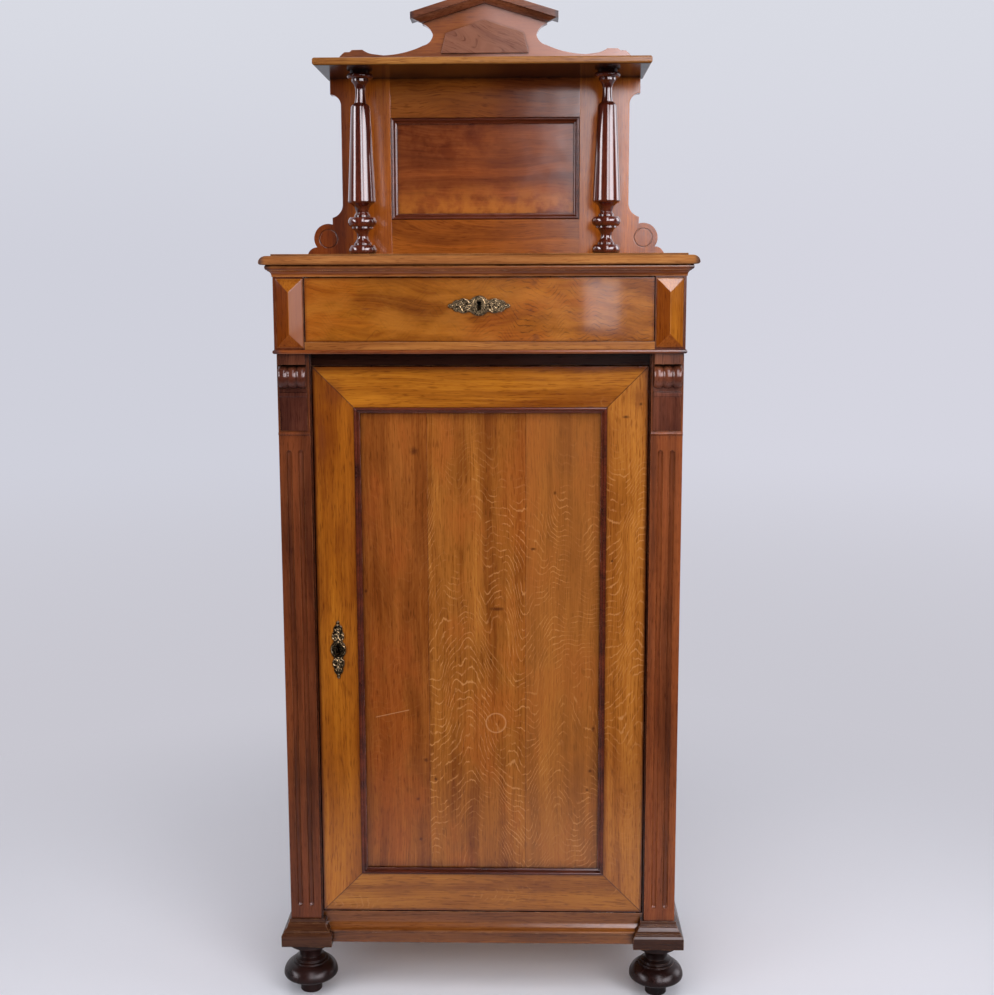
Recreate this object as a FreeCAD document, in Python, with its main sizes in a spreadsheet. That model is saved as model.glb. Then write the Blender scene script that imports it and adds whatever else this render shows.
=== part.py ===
import FreeCAD, Part
import math
import os
import Sketcher

# Wooden cabinet on turned feet: one drawer, one tall door, and a gallery with
# two turned columns, a shelf and a gabled crest.
# The origin is on the floor under the middle of the top board. +Z is up, the
# front faces -Y and +X is the right-hand side. All sizes are in millimetres.

DRIVING_SIZES = {
    # Top board, cornice and overall plan
    "top_width": 700.0,
    "top_depth": 400.0,
    "top_overhang": 19.0,
    "top_thickness": 17.0,
    "cornice_height": 19.0,
    "cornice_projection": 11.0,
    # Heights of the case, from the floor up
    "foot_height": 98.0,
    "plinth_height": 46.0,
    "sill_rise": 8.5,
    "door_height": 942.0,
    "head_rail_height": 20.5,
    "apron_thickness": 6.5,
    "drawer_rail_height": 12.5,
    "drawer_front_height": 101.5,
    # Feet
    "foot_radius": 47.0,
    "rear_foot_setback": 2.0,
    # Plinth
    "plinth_flare": 15.5,
    "plinth_block_width": 86.5,
    "plinth_rail_setback": 6.0,
    "plinth_bead_projection": 5.0,
    "plinth_bead_height": 14.5,
    "plinth_rail_thickness": 20.0,
    "rear_block_width": 51.0,
    # Posts, sides and boards
    "post_width": 54.0,
    "post_depth": 45.0,
    "head_projection": 31.0,
    "rail_depth": 24.0,
    "side_thickness": 20.0,
    "rear_stile_width": 60.0,
    "side_top_rail_height": 80.0,
    "side_bottom_rail_height": 126.0,
    "panel_thickness": 10.0,
    "groove_depth": 8.0,
    "board_thickness": 18.0,
    "back_board_thickness": 12.0,
    "back_board_inset": 2.0,
    "back_board_rise": 12.0,
    "shelf_lower_height": 310.0,
    "shelf_upper_height": 625.0,
    "shelf_clearance": 0.3,
    "cleat_width": 16.0,
    "cleat_height": 22.0,
    # Apron moulding, pilasters, corbels and facet blocks
    "apron_projection": 5.0,
    "pilaster_thickness": 12.0,
    "pilaster_setback": 2.0,
    "head_setback": 4.5,
    "flute_width": 9.0,
    "flute_depth": 3.4,
    "flute_spacing": 19.4,
    "flute_foot_margin": 22.0,
    "flute_head_drop": 158.0,
    "bead_height": 6.0,
    "bead_projection": 2.6,
    "bead_drop": 131.0,
    "corbel_width": 45.0,
    "corbel_block_height": 17.5,
    "corbel_block_projection": 14.0,
    "scroll_radius": 20.5,
    "scroll_projection": 18.0,
    "scroll_drop": 37.5,
    "reed_crown_width": 2.4,
    "reed_groove_depth": 2.4,
    "corbel_tail_height": 68.0,
    "facet_width": 44.0,
    "facet_height": 111.0,
    "facet_relief": 10.0,
    "facet_ridge_width": 1.0,
    # Door
    "door_gap": 2.0,
    "door_thickness": 24.0,
    "door_frame_width": 66.4,
    "door_panel_recess": 8.0,
    "door_moulding_width": 9.6,
    "door_moulding_rise": 3.0,
    "plank_joint_left": 89.0,
    "plank_joint_right": 75.0,
    # Door pivots
    "pivot_inset": 14.0,
    "pivot_depth": 6.0,
    "pivot_pin_radius": 3.0,
    "pivot_running_clearance": 0.05,
    "pivot_plate_length": 50.0,
    "pivot_plate_width": 9.0,
    "pivot_plate_thickness": 3.0,
    "pivot_pin_reach": 7.0,
    "pivot_hole_margin": 1.0,
    # Drawer
    "drawer_side_gap": 1.5,
    "drawer_gap_below": 0.5,
    "drawer_gap_above": 2.0,
    "drawer_running_gap": 0.3,
    "drawer_front_thickness": 22.0,
    "drawer_wall": 12.0,
    "drawer_side_height": 94.0,
    "drawer_back_gap": 8.0,
    "drawer_bottom_thickness": 8.0,
    "drawer_bottom_rise": 8.0,
    "drawer_back_drop": 4.0,
    "drawer_post_clearance": 2.0,
    "runner_width": 20.0,
    "guide_height": 22.0,
    "guide_clearance": 1.5,
    # Locks, bolts and escutcheons
    "lock_depth": 12.0,
    "door_lock_width": 58.0,
    "door_lock_height": 75.0,
    "drawer_lock_width": 70.0,
    "drawer_lock_height": 45.0,
    "bolt_thickness": 5.0,
    "bolt_width": 26.0,
    "bolt_length": 34.0,
    "bolt_throw": 9.0,
    "bolt_clearance": 0.4,
    "bolt_back_margin": 1.5,
    "keyhole_radius": 3.0,
    "keyhole_slot_width": 3.0,
    "keyhole_drop": 11.0,
    "keyhole_rise": 4.0,
    "escutcheon_length": 100.0,
    "escutcheon_width": 32.0,
    "door_escutcheon_width": 26.0,
    "escutcheon_thickness": 2.0,
    "escutcheon_boss_width": 19.0,
    "escutcheon_boss_height": 31.0,
    "escutcheon_boss_rise": 1.5,
    "door_lock_level": 465.5,
    "door_lock_setback": 33.5,
    "drawer_lock_level": 57.0,
    # Gallery
    "gallery_height": 319.0,
    "gallery_back_gap": 16.0,
    "gallery_thickness": 22.0,
    "waist_margin": 89.0,
    "horn_margin": 69.8,
    "gallery_foot_radius": 18.0,
    "gallery_foot_toe": 2.0,
    "scroll_disc_radius": 26.5,
    "scroll_disc_margin": 61.6,
    "scroll_disc_height": 35.8,
    "scroll_ring_radius": 16.5,
    "scroll_ring_width": 1.8,
    "scroll_ring_depth": 1.2,
    "horn_low": 73.2,
    "waist_low": 96.5,
    "waist_high": 272.0,
    "horn_high": 292.0,
    "gallery_panel_margin": 178.5,
    "gallery_panel_bottom": 69.0,
    "gallery_panel_top": 250.6,
    "gallery_moulding_width": 11.0,
    "gallery_moulding_rise": 2.0,
    "gallery_panel_recess": 7.0,
    "gallery_shelf_margin": 62.5,
    "gallery_shelf_front": 184.0,
    "gallery_shelf_thickness": 13.0,
    "gallery_shelf_round": 5.0,
    "column_radius": 25.0,
    "column_margin": 133.5,
    "column_front": 99.0,
    # Crest
    "crest_margin": 78.0,
    "ear_height": 38.0,
    "neck_half": 93.0,
    "neck_height": 63.0,
    "gable_half": 112.3,
    "gable_foot_height": 82.4,
    "gable_rise": 33.9,
    "gable_tip_half": 132.0,
    "gable_cap_thickness": 12.0,
    "gable_cove_height": 10.5,
    "gable_cap_projection": 22.0,
    "gable_cove_projection": 18.0,
    "gable_cap_lap": 2.0,
    "tablet_height": 57.3,
    "tablet_shoulder_drop": 22.3,
    "tablet_shoulder_half": 69.5,
    "tablet_foot_half": 78.7,
    "tablet_lift": 30.5,
    "tablet_thickness": 4.0,
    # Allowance by which a cut runs past the wood
    "overrun": 1.0,
}

BACK_BOARD_COUNT = 5
REED_COUNT = 3

# Outlines below are lists of (share, share) or (share, share, bulge). A bulge
# is the tangent of a quarter of the arc's angle to the next point.

# Offset from the wall and height, from the bottom to the top of the moulding
PLINTH_FLARE_SHARES = ((1.0, 0.0), (1.0, 0.42), (0.86, 0.5), (0.74, 0.53), (0.74, 0.6, -0.25),
                       (0.32, 0.84), (0.2, 0.87), (0.2, 1.0))
CORNICE_SHARES = ((0.12, 0.0), (0.12, 0.07, -0.33), (0.66, 0.5), (0.66, 0.56), (0.76, 0.56, 0.6),
                  (0.76, 1.0))
TOP_EDGE_SHARES = ((0.87, 0.0, 0.2), (1.0, 0.15), (1.0, 0.18, 0.41), (0.42, 0.83), (0.1, 0.83),
                   (0.1, 1.0))
ROUND_EDGE_SHARES = ((0.1, 0.0, 0.7), (0.1, 1.0))
SHELF_EDGE_SHARES = ((0.4, 0.0, 0.2), (1.0, 0.25), (1.0, 0.7, 0.3), (0.3, 1.0))

# Radius and height of the turned foot
FOOT_SHARES = ((0.0, 0.0), (0.36, 0.0), (0.396, 0.02), (0.396, 0.165), (0.5, 0.19, 0.06),
               (0.9, 0.285, 0.3), (1.0, 0.35, 0.3), (0.71, 0.56), (0.66, 0.565), (0.66, 0.59),
               (0.56, 0.6), (0.56, 0.635), (0.48, 0.645), (0.4, 0.67, -0.3), (0.72, 0.885),
               (0.8, 0.9), (0.8, 1.0), (0.0, 1.0))

# Radius and height of the turned column, from its base torus to its capital
COLUMN_SHARES = ((0.0, 0.0), (0.84, 0.0), (0.84, 0.012, 0.44), (0.84, 0.066), (0.64, 0.066),
                 (0.64, 0.077, -0.2), (0.39, 0.113, -0.2), (0.62, 0.153), (0.76, 0.157),
                 (0.76, 0.167), (0.88, 0.168, 0.44), (0.88, 0.218), (0.56, 0.22), (0.56, 0.23),
                 (0.44, 0.245, -0.3), (0.9, 0.296), (0.98, 0.305), (0.67, 0.814), (0.62, 0.823),
                 (0.42, 0.836, -0.06), (0.35, 0.91, -0.2), (0.6, 0.95), (0.6, 0.963),
                 (0.84, 0.966, 0.47), (0.84, 0.99), (0.7, 0.992), (0.7, 1.0), (0.0, 1.0))

# Face moulding round a panel: across its width and out from the panel
MOULDING_SHARES = ((0.0, 0.0), (1.0, 0.0), (1.0, 0.35, -0.25), (0.6, 0.62), (0.55, 0.8, 0.5),
                   (0.1, 0.92), (0.0, 0.7))

# Ear and sweep of the crest: along its half width and up to the neck
CREST_EAR_SHARES = ((1.0, 0.3, 0.12), (0.93, 0.89), (0.895, 0.9), (0.88, 0.99), (0.81, 1.0, -0.12),
                    (0.745, 0.8), (0.67, 0.735, -0.1))
CREST_SWEEP_SHARES = ((0.405, 0.71, -0.32),)

# Half outline of an escutcheon, along its length and across its width
ESCUTCHEON_SHARES = ((1.0, 0.0, 0.45), (0.91, 0.2, -0.3), (0.84, 0.28, 0.3), (0.7, 0.58, -0.25),
                     (0.62, 0.6, 0.3), (0.42, 0.68, -0.3), (0.24, 0.66), (0.2, 0.78, 0.15), (0.0, 1.0))


class Size:
    """A number together with the sheet expression that gives it."""

    def __init__(self, value, text):
        self.value = float(value)
        self.text = text

    def __add__(self, other):
        other = as_size(other)
        return Size(self.value + other.value, f"({self.text} + {other.text})")

    def __radd__(self, other):
        return as_size(other) + self

    def __sub__(self, other):
        other = as_size(other)
        return Size(self.value - other.value, f"({self.text} - {other.text})")

    def __rsub__(self, other):
        return as_size(other) - self

    def __mul__(self, other):
        other = as_size(other)
        return Size(self.value * other.value, f"({self.text} * {other.text})")

    def __rmul__(self, other):
        return as_size(other) * self

    def __truediv__(self, other):
        other = as_size(other)
        return Size(self.value / other.value, f"({self.text} / {other.text})")

    def __neg__(self):
        return Size(-self.value, f"(0 - {self.text})")


def as_size(value):
    """A plain share or zero becomes a Size too."""
    return value if isinstance(value, Size) else Size(value, repr(float(value)))


def root(size):
    return Size(math.sqrt(size.value), f"sqrt({size.text})")


doc = FreeCAD.newDocument("cabinet")
sheet = doc.addObject("Spreadsheet::Sheet", "Sizes")
for row, (alias, number) in enumerate(DRIVING_SIZES.items(), start=1):
    sheet.set(f"A{row}", alias)
    sheet.set(f"B{row}", str(number))
    sheet.setAlias(f"B{row}", alias)
doc.recompute()

size = {alias: Size(number, f"Sizes.{alias}") for alias, number in DRIVING_SIZES.items()}
subparts = []


def part(thing, label):
    """Gives a finished sub-part the label that names its file."""
    thing.Label = label
    subparts.append(thing)
    return thing


# Building blocks

def board(name, x_span, y_span, z_span):
    """A plain sawn board between two places along each axis."""
    box = doc.addObject("Part::Box", name)
    for side, axis, span in (("Length", "x", x_span), ("Width", "y", y_span), ("Height", "z", z_span)):
        low, high = as_size(span[0]), as_size(span[1])
        box.setExpression(side, (high - low).text)
        box.setExpression(f"Placement.Base.{axis}", low.text)
    return box


def cut(name, base, *tools):
    """The base with each tool taken away."""
    for number, tool in enumerate(tools, start=1):
        result = doc.addObject("Part::Cut", f"{name}_cut{number}")
        result.Base = base
        result.Tool = tool
        base = result
    return base


def fuse(name, base, tool):
    result = doc.addObject("Part::Fuse", name)
    result.Base = base
    result.Tool = tool
    return result


def group(name, *members):
    """Several loose solids that share one node."""
    result = doc.addObject("Part::Compound", name)
    result.Links = list(members)
    return result


def mirrored(name, source):
    """The left-hand twin of a right-hand piece."""
    twin = doc.addObject("Part::Mirroring", name)
    twin.Source = source
    twin.Normal = FreeCAD.Vector(1, 0, 0)
    return twin


def pair(stem, right_piece):
    """Right-hand piece and its mirror image as two sub-parts."""
    part(right_piece, f"{stem}_right")
    part(mirrored(f"{stem}_left", right_piece), f"{stem}_left")


def sketch_on(body, name, role, offset, shift=None):
    """A sketch on one origin plane of its own body, moved along the plane's normal."""
    sketch = body.newObject("Sketcher::SketchObject", name)
    plane = [feature for feature in body.Origin.OriginFeatures if feature.Role == role][0]
    sketch.AttachmentSupport = [(plane, "")]
    sketch.MapMode = "FlatFace"
    sketch.setExpression("AttachmentOffset.Base.z", as_size(offset).text)
    if shift is not None:
        sketch.setExpression("AttachmentOffset.Base.x", as_size(shift[0]).text)
        sketch.setExpression("AttachmentOffset.Base.y", as_size(shift[1]).text)
    return sketch


def bind(sketch, kind, value, *where):
    index = sketch.addConstraint(Sketcher.Constraint(kind, *where, value.value))
    sketch.setExpression(f"Constraints[{index}]", value.text)


def draw(sketch, points):
    """Draws one closed outline. Every corner and every arc radius is bound to the sheet."""
    corners = [(as_size(point[0]), as_size(point[1]), point[2] if len(point) > 2 else 0.0)
               for point in points]
    starts = []
    ends = []
    for number, (x1, y1, bulge) in enumerate(corners):
        x2, y2, _ = corners[(number + 1) % len(corners)]
        first = FreeCAD.Vector(x1.value, y1.value, 0)
        last = FreeCAD.Vector(x2.value, y2.value, 0)
        if not bulge:
            edge = sketch.addGeometry(Part.LineSegment(first, last), False)
            starts.append((edge, 1))
            ends.append((edge, 2))
            continue
        chord = last - first
        across = FreeCAD.Vector(-chord.y, chord.x, 0)
        centre = first + chord * 0.5 + across * ((1 - bulge * bulge) / (4 * bulge))
        radius = chord.Length * (1 + bulge * bulge) / (4 * abs(bulge))
        from_angle = math.atan2(first.y - centre.y, first.x - centre.x)
        to_angle = math.atan2(last.y - centre.y, last.x - centre.x)
        if bulge < 0:
            from_angle, to_angle = to_angle, from_angle
        if to_angle < from_angle:
            to_angle += 2 * math.pi
        circle = Part.Circle(centre, FreeCAD.Vector(0, 0, 1), radius)
        edge = sketch.addGeometry(Part.ArcOfCircle(circle, from_angle, to_angle), False)
        starts.append((edge, 1 if bulge > 0 else 2))
        ends.append((edge, 2 if bulge > 0 else 1))
        run = x2 - x1
        rise = y2 - y1
        reach = root(run * run + rise * rise)
        bind(sketch, "Radius", reach * ((1 + bulge * bulge) / (4 * abs(bulge))), edge)
    for number, (x1, y1, _) in enumerate(corners):
        following = (number + 1) % len(corners)
        sketch.addConstraint(Sketcher.Constraint("Coincident", *ends[number], *starts[following]))
        bind(sketch, "DistanceX", x1, *starts[number])
        bind(sketch, "DistanceY", y1, *starts[number])


def pad(body, sketch, length, reverse=False):
    feature = body.newObject("PartDesign::Pad", f"{sketch.Name}_pad")
    feature.Profile = sketch
    feature.setExpression("Length", as_size(length).text)
    feature.Reversed = reverse
    sketch.Visibility = False
    return feature


def pocket_through(body, sketch):
    """Cuts the sketch right through the body, to both sides of its plane."""
    feature = body.newObject("PartDesign::Pocket", f"{sketch.Name}_pocket")
    feature.Profile = sketch
    feature.SideType = "Symmetric"
    feature.Type = "ThroughAll"
    sketch.Visibility = False
    return feature


def new_body(name):
    return doc.addObject("PartDesign::Body", f"{name}_body")


def front_plate(name, points, y_front, thickness):
    """An outline seen from the front (x, z), as thick as given towards the back."""
    body = new_body(name)
    sketch = sketch_on(body, f"{name}_outline", "XZ_Plane", -as_size(y_front))
    draw(sketch, points)
    pad(body, sketch, thickness, reverse=True)
    return body


def level_plate(name, points, z_bottom, thickness):
    """An outline seen from above (x, y), as thick as given upwards."""
    body = new_body(name)
    sketch = sketch_on(body, f"{name}_outline", "XY_Plane", z_bottom)
    draw(sketch, points)
    pad(body, sketch, thickness)
    return body


def side_strip(name, points, x_start, length):
    """A section seen from the right (y, z), run along X."""
    body = new_body(name)
    sketch = sketch_on(body, f"{name}_section", "YZ_Plane", x_start)
    draw(sketch, points)
    pad(body, sketch, length)
    return body


def turned(name, shares, radius, height, centre_x, centre_y, z_bottom):
    """A piece turned on the lathe round a vertical axis."""
    body = new_body(name)
    sketch = sketch_on(body, f"{name}_profile", "XZ_Plane", 0)
    draw(sketch, [(radius * row[0], height * row[1], *row[2:]) for row in shares])
    feature = body.newObject("PartDesign::Revolution", f"{name}_turning")
    feature.Profile = sketch
    feature.ReferenceAxis = (sketch, ["V_Axis"])
    feature.Angle = 360
    for axis, place in (("x", centre_x), ("y", centre_y), ("z", z_bottom)):
        body.setExpression(f"Placement.Base.{axis}", as_size(place).text)
    return body


def moulded_slab(name, shares, x_walls, y_wall, y_back, z_bottom, height, projection):
    """A slab with one moulding run along its left, front and right edges, mitred at the corners.

    The walls are where the moulding's offset is zero.
    """
    left_wall, right_wall = x_walls
    body = new_body(name)
    sketch = sketch_on(body, f"{name}_front_view", "XZ_Plane", -(y_wall - projection))
    right = [(right_wall + projection * row[0], z_bottom + height * row[1], *row[2:]) for row in shares]
    left = mirrored_edge([(left_wall - projection * row[0], z_bottom + height * row[1], *row[2:])
                          for row in shares])
    draw(sketch, right + left)
    pad(body, sketch, y_back - y_wall + projection, reverse=True)
    profile = [(y_wall - projection * row[0], z_bottom + height * row[1], *row[2:]) for row in shares]
    profile = [(y, z, -bulge[0]) if bulge else (y, z) for y, z, *bulge in profile]
    over = size["overrun"]
    waste = sketch_on(body, f"{name}_side_view", "YZ_Plane", 0)
    ahead = y_wall - projection - over
    draw(waste, [(profile[0][0], z_bottom - over)] + profile
         + [(profile[-1][0], z_bottom + height + over), (ahead, z_bottom + height + over),
            (ahead, z_bottom - over)])
    pocket_through(body, waste)
    return body


def mirrored_edge(points):
    """The same edge seen in a mirror, walked the other way round."""
    turned_round = []
    count = len(points)
    for number in range(count - 1, -1, -1):
        x, z = points[number][0], points[number][1]
        bulge = points[number - 1][2] if number > 0 and len(points[number - 1]) > 2 else 0.0
        turned_round.append((x, z, bulge))
    return turned_round


def hollow_out(body, name, points, z_level):
    """Takes an outline seen from above right through the body."""
    sketch = sketch_on(body, f"{name}_hollow", "XY_Plane", z_level)
    draw(sketch, points)
    pocket_through(body, sketch)


def rectangle(x_span, y_span):
    return [(x_span[0], y_span[0]), (x_span[1], y_span[0]), (x_span[1], y_span[1]),
            (x_span[0], y_span[1])]


# Places worked out from the driving sizes

over = size["overrun"]
front = -(size["top_depth"] / 2)
back = size["top_depth"] / 2
top_half = size["top_width"] / 2
case_half = top_half - size["top_overhang"]
case_front = front + size["top_overhang"]
door_face = case_front + size["head_projection"]
door_back = door_face + size["door_thickness"]
rail_back = door_face + size["rail_depth"]
post_back = door_face + size["post_depth"]
pilaster_face = door_face - size["pilaster_thickness"]
opening_half = case_half - size["post_width"]
head_half = opening_half + size["head_setback"]
pilaster_inner = opening_half + size["pilaster_setback"]
door_half = opening_half - size["door_gap"]
side_inner = case_half - size["side_thickness"]
back_face = back - size["back_board_inset"] - size["back_board_thickness"]

z_plinth = size["foot_height"]
z_case = z_plinth + size["plinth_height"]
z_sill = z_case + size["sill_rise"]
z_door = z_sill + size["door_gap"]
z_door_top = z_door + size["door_height"]
z_head = z_door_top + size["door_gap"]
z_apron = z_head + size["head_rail_height"]
z_drawer_rail = z_apron + size["apron_thickness"]
z_drawer_bay = z_drawer_rail + size["drawer_rail_height"]
z_drawer = z_drawer_bay + size["drawer_gap_below"]
z_drawer_top = z_drawer + size["drawer_front_height"]
z_cornice = z_drawer_top + size["drawer_gap_above"]
z_top_under = z_cornice + size["cornice_height"]
z_top = z_top_under + size["top_thickness"]
z_shelf = z_top + size["gallery_height"]
z_crest = z_shelf + size["gallery_shelf_thickness"]

block_outer = case_half + size["plinth_flare"]
block_inner = block_outer - size["plinth_block_width"]
block_front = pilaster_face - size["plinth_flare"]
pilaster_centre = (pilaster_inner + case_half) / 2
foot_x = block_outer - size["plinth_block_width"] / 2
foot_y = block_front + size["plinth_block_width"] / 2
rear_foot_y = back - size["rear_foot_setback"] - size["foot_radius"]
gallery_back = back - size["gallery_back_gap"]
gallery_face = gallery_back - size["gallery_thickness"]

pivot_x = door_half - size["pivot_inset"]
pivot_y = door_face + size["pivot_depth"]
door_lock_x = -(door_half - size["door_lock_setback"])
door_lock_z = z_door + size["door_lock_level"]
drawer_lock_z = z_drawer + size["drawer_lock_level"]
door_key_z = door_lock_z + size["keyhole_rise"]
drawer_key_z = drawer_lock_z + size["keyhole_rise"]


def make_feet():
    for place, centre_y in (("front", foot_y), ("rear", rear_foot_y)):
        for side, sign in (("left", -1), ("right", 1)):
            name = f"foot_{place}_{side}"
            part(turned(name, FOOT_SHARES, size["foot_radius"], size["foot_height"],
                        foot_x * sign, centre_y, 0), name)


def make_plinth():
    block = moulded_slab("plinth_block", PLINTH_FLARE_SHARES,
                         (block_inner + size["plinth_flare"], case_half), pilaster_face, post_back,
                         z_plinth, size["plinth_height"], size["plinth_flare"])
    pair("plinth_block", block)
    block_left = subparts[-1]

    fascia = door_face - size["plinth_rail_setback"]
    nose = fascia - size["plinth_bead_projection"]
    bead_top = z_sill - size["sill_rise"] - size["plinth_bead_height"] * 0.76
    bead_low = bead_top - size["plinth_bead_height"]
    rail_rear = fascia + size["plinth_rail_thickness"]
    moulded = side_strip("plinth_rail_board", [
        (fascia, z_plinth), (rail_rear, z_plinth), (rail_rear, bead_top), (door_face, bead_top, -0.3),
        (nose + size["plinth_bead_projection"] * 0.3, bead_low + size["plinth_bead_height"] * 0.3),
        (nose, bead_low + size["plinth_bead_height"] * 0.2), (nose, bead_low),
        (fascia, bead_low)], -opening_half, opening_half * 2)
    sill = board("sill_board", (-opening_half, opening_half), (door_face, rail_back), (bead_top, z_sill))
    sill = cut("sill", sill, block, block_left, pivot_recess("lower", z_sill, z_sill - plate_height))
    part(group("plinth_rail", cut("plinth_rail_board", moulded, block, block_left), sill), "plinth_rail")

    section = [(case_half, z_plinth), (case_half, z_case)]
    flare = [(case_half + size["plinth_flare"] * row[0], z_plinth + size["plinth_height"] * row[1],
              *row[2:]) for row in PLINTH_FLARE_SHARES]
    right = front_plate("plinth_side", section[:1] + flare + section[1:], post_back, back - post_back)
    part(group("plinth_side_mouldings", right, mirrored("plinth_side_left", right)),
         "plinth_side_mouldings")

    floor_bottom = z_sill - size["board_thickness"]
    rear_block = board("rear_block", (side_inner - size["rear_block_width"], side_inner),
                       (rear_foot_y - size["foot_radius"] * 0.7, back_face), (z_plinth, floor_bottom))
    part(group("rear_foot_blocks", rear_block, mirrored("rear_block_left", rear_block)),
         "rear_foot_blocks")
    outline = [(block_inner, rail_back), (block_inner, post_back), (side_inner, post_back),
               (side_inner, back_face), (-side_inner, back_face), (-side_inner, post_back),
               (-block_inner, post_back), (-block_inner, rail_back)]
    part(level_plate("case_floor", outline, floor_bottom, size["board_thickness"]), "case_floor")


def make_sides():
    """Framed sides: each front post is the front stile, the rest is one node per side."""
    groove = size["groove_depth"]
    stile_front = back - size["rear_stile_width"]
    rail_low = z_plinth + size["side_bottom_rail_height"]
    rail_high = z_top_under - size["side_top_rail_height"]
    middle = (side_inner + case_half) / 2
    panel = board("side_panel", (middle - size["panel_thickness"] / 2, middle + size["panel_thickness"] / 2),
                  (post_back - groove, stile_front + groove), (rail_low - groove, rail_high + groove))
    thick = (side_inner, case_half)
    stile = board("rear_stile", thick, (stile_front, back), (z_plinth, z_top_under))
    rails = [board("side_rail_low", thick, (post_back, stile_front), (z_plinth, rail_low)),
             board("side_rail_high", thick, (post_back, stile_front), (rail_high, z_top_under))]
    pieces = [cut(piece.Name, piece, panel) for piece in [stile] + rails]
    pair("side_frame", group("side_frame_right_pieces", *pieces, panel))

    post = board("post", (opening_half, case_half), (door_face, post_back), (z_case, z_top_under))
    head = board("post_head", (head_half, case_half), (case_front, door_face),
                 (z_drawer_rail, z_top_under))
    post_right = cut("front_post", fuse("front_post_joined", post, head), panel)
    part(post_right, "front_post_right")
    clear = size["bolt_clearance"]
    half_bolt = size["bolt_width"] / 2 + clear
    bolt_front = door_back + size["bolt_back_margin"]
    mortise = board("post_mortise", (-(opening_half + size["bolt_throw"]), -(opening_half - over)),
                    (bolt_front - clear, bolt_front + size["bolt_thickness"] + clear),
                    (door_lock_z - half_bolt, door_lock_z + half_bolt))
    part(cut("front_post_left", mirrored("front_post_mirror", post_right), mortise), "front_post_left")


def make_carcass():
    recess = pivot_recess("upper", z_head, z_head + plate_height)
    head_rail = cut("head_rail", board("head_rail_board", (-opening_half, opening_half),
                                       (door_face, rail_back), (z_head, z_drawer_rail)), recess)
    dust_outline = [(opening_half, rail_back), (opening_half, post_back), (side_inner, post_back),
                    (side_inner, back_face), (-side_inner, back_face), (-side_inner, post_back),
                    (-opening_half, post_back), (-opening_half, rail_back)]
    dust = level_plate("dust_board", dust_outline, z_drawer_rail - size["board_thickness"],
                       size["board_thickness"])
    part(group("drawer_divider", head_rail, dust), "drawer_divider")

    apron = moulded_slab("apron_moulding", ROUND_EDGE_SHARES, (-case_half, case_half), case_front, back,
                         z_apron, size["apron_thickness"], size["apron_projection"])
    hollow_out(apron, "apron_moulding", rectangle((-case_half, case_half), (door_face, back + over)), z_apron)
    part(apron, "apron_moulding")

    part(board("drawer_rail", (-head_half, head_half), (case_front, door_face),
               (z_drawer_rail, z_drawer_bay)), "drawer_rail")
    clear = size["bolt_clearance"]
    half_bolt = size["bolt_width"] / 2 + clear
    bolt_front = case_front + size["drawer_front_thickness"] + size["bolt_back_margin"]
    mortise = board("rail_mortise", (-half_bolt, half_bolt),
                    (bolt_front - clear, bolt_front + size["bolt_thickness"] + clear),
                    (z_cornice - over, z_cornice + size["bolt_throw"]))
    top_rail = board("top_rail_board", (-head_half, head_half), (case_front, door_face),
                     (z_cornice, z_top_under))
    part(cut("top_rail", top_rail, mortise), "top_rail")

    cornice = moulded_slab("cornice_moulding", CORNICE_SHARES, (-case_half, case_half), case_front, back,
                           z_cornice, size["cornice_height"], size["cornice_projection"])
    hollow_out(cornice, "cornice_moulding", rectangle((-case_half, case_half), (case_front, back + over)),
               z_cornice)
    part(cornice, "cornice_moulding")
    part(moulded_slab("top_board", TOP_EDGE_SHARES, (-case_half, case_half), case_front, back,
                      z_top_under, size["top_thickness"], size["top_overhang"]), "top_board")

    width = side_inner * 2 / BACK_BOARD_COUNT
    boards = [board(f"back_board_{number + 1}", (width * number - side_inner, width * (number + 1) - side_inner),
                    (back_face, back_face + size["back_board_thickness"]),
                    (z_plinth + size["back_board_rise"], z_top_under)) for number in range(BACK_BOARD_COUNT)]
    part(group("back_boards", *boards), "back_boards")


def make_inside():
    gap = size["shelf_clearance"]
    cleats = []
    for name, height in (("shelf_lower", size["shelf_lower_height"]), ("shelf_upper", size["shelf_upper_height"])):
        z_shelf_bottom = z_sill + height
        part(board(name, (gap - side_inner, side_inner - gap), (post_back + gap, back_face - gap),
                   (z_shelf_bottom, z_shelf_bottom + size["board_thickness"])), name)
        cleat = board(f"{name}_cleat", (side_inner - size["cleat_width"], side_inner),
                      (post_back + size["cleat_width"], back_face - size["cleat_width"]),
                      (z_shelf_bottom - size["cleat_height"], z_shelf_bottom))
        cleats += [cleat, mirrored(f"{name}_cleat_left", cleat)]
    part(group("shelf_cleats", *cleats), "shelf_cleats")

    inner = opening_half - size["runner_width"]
    outline = [(inner, door_face), (opening_half, door_face), (opening_half, post_back),
               (side_inner, post_back), (side_inner, back_face), (inner, back_face)]
    runner = level_plate("runner", outline, z_drawer_rail, size["drawer_rail_height"])
    guide_face = opening_half - size["drawer_post_clearance"] + size["guide_clearance"]
    guide = board("guide", (guide_face, side_inner), (post_back, back_face),
                  (z_drawer_bay, z_drawer_bay + size["guide_height"]))
    part(group("drawer_runners", runner, guide, mirrored("runner_left", runner),
               mirrored("guide_left", guide)), "drawer_runners")


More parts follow.
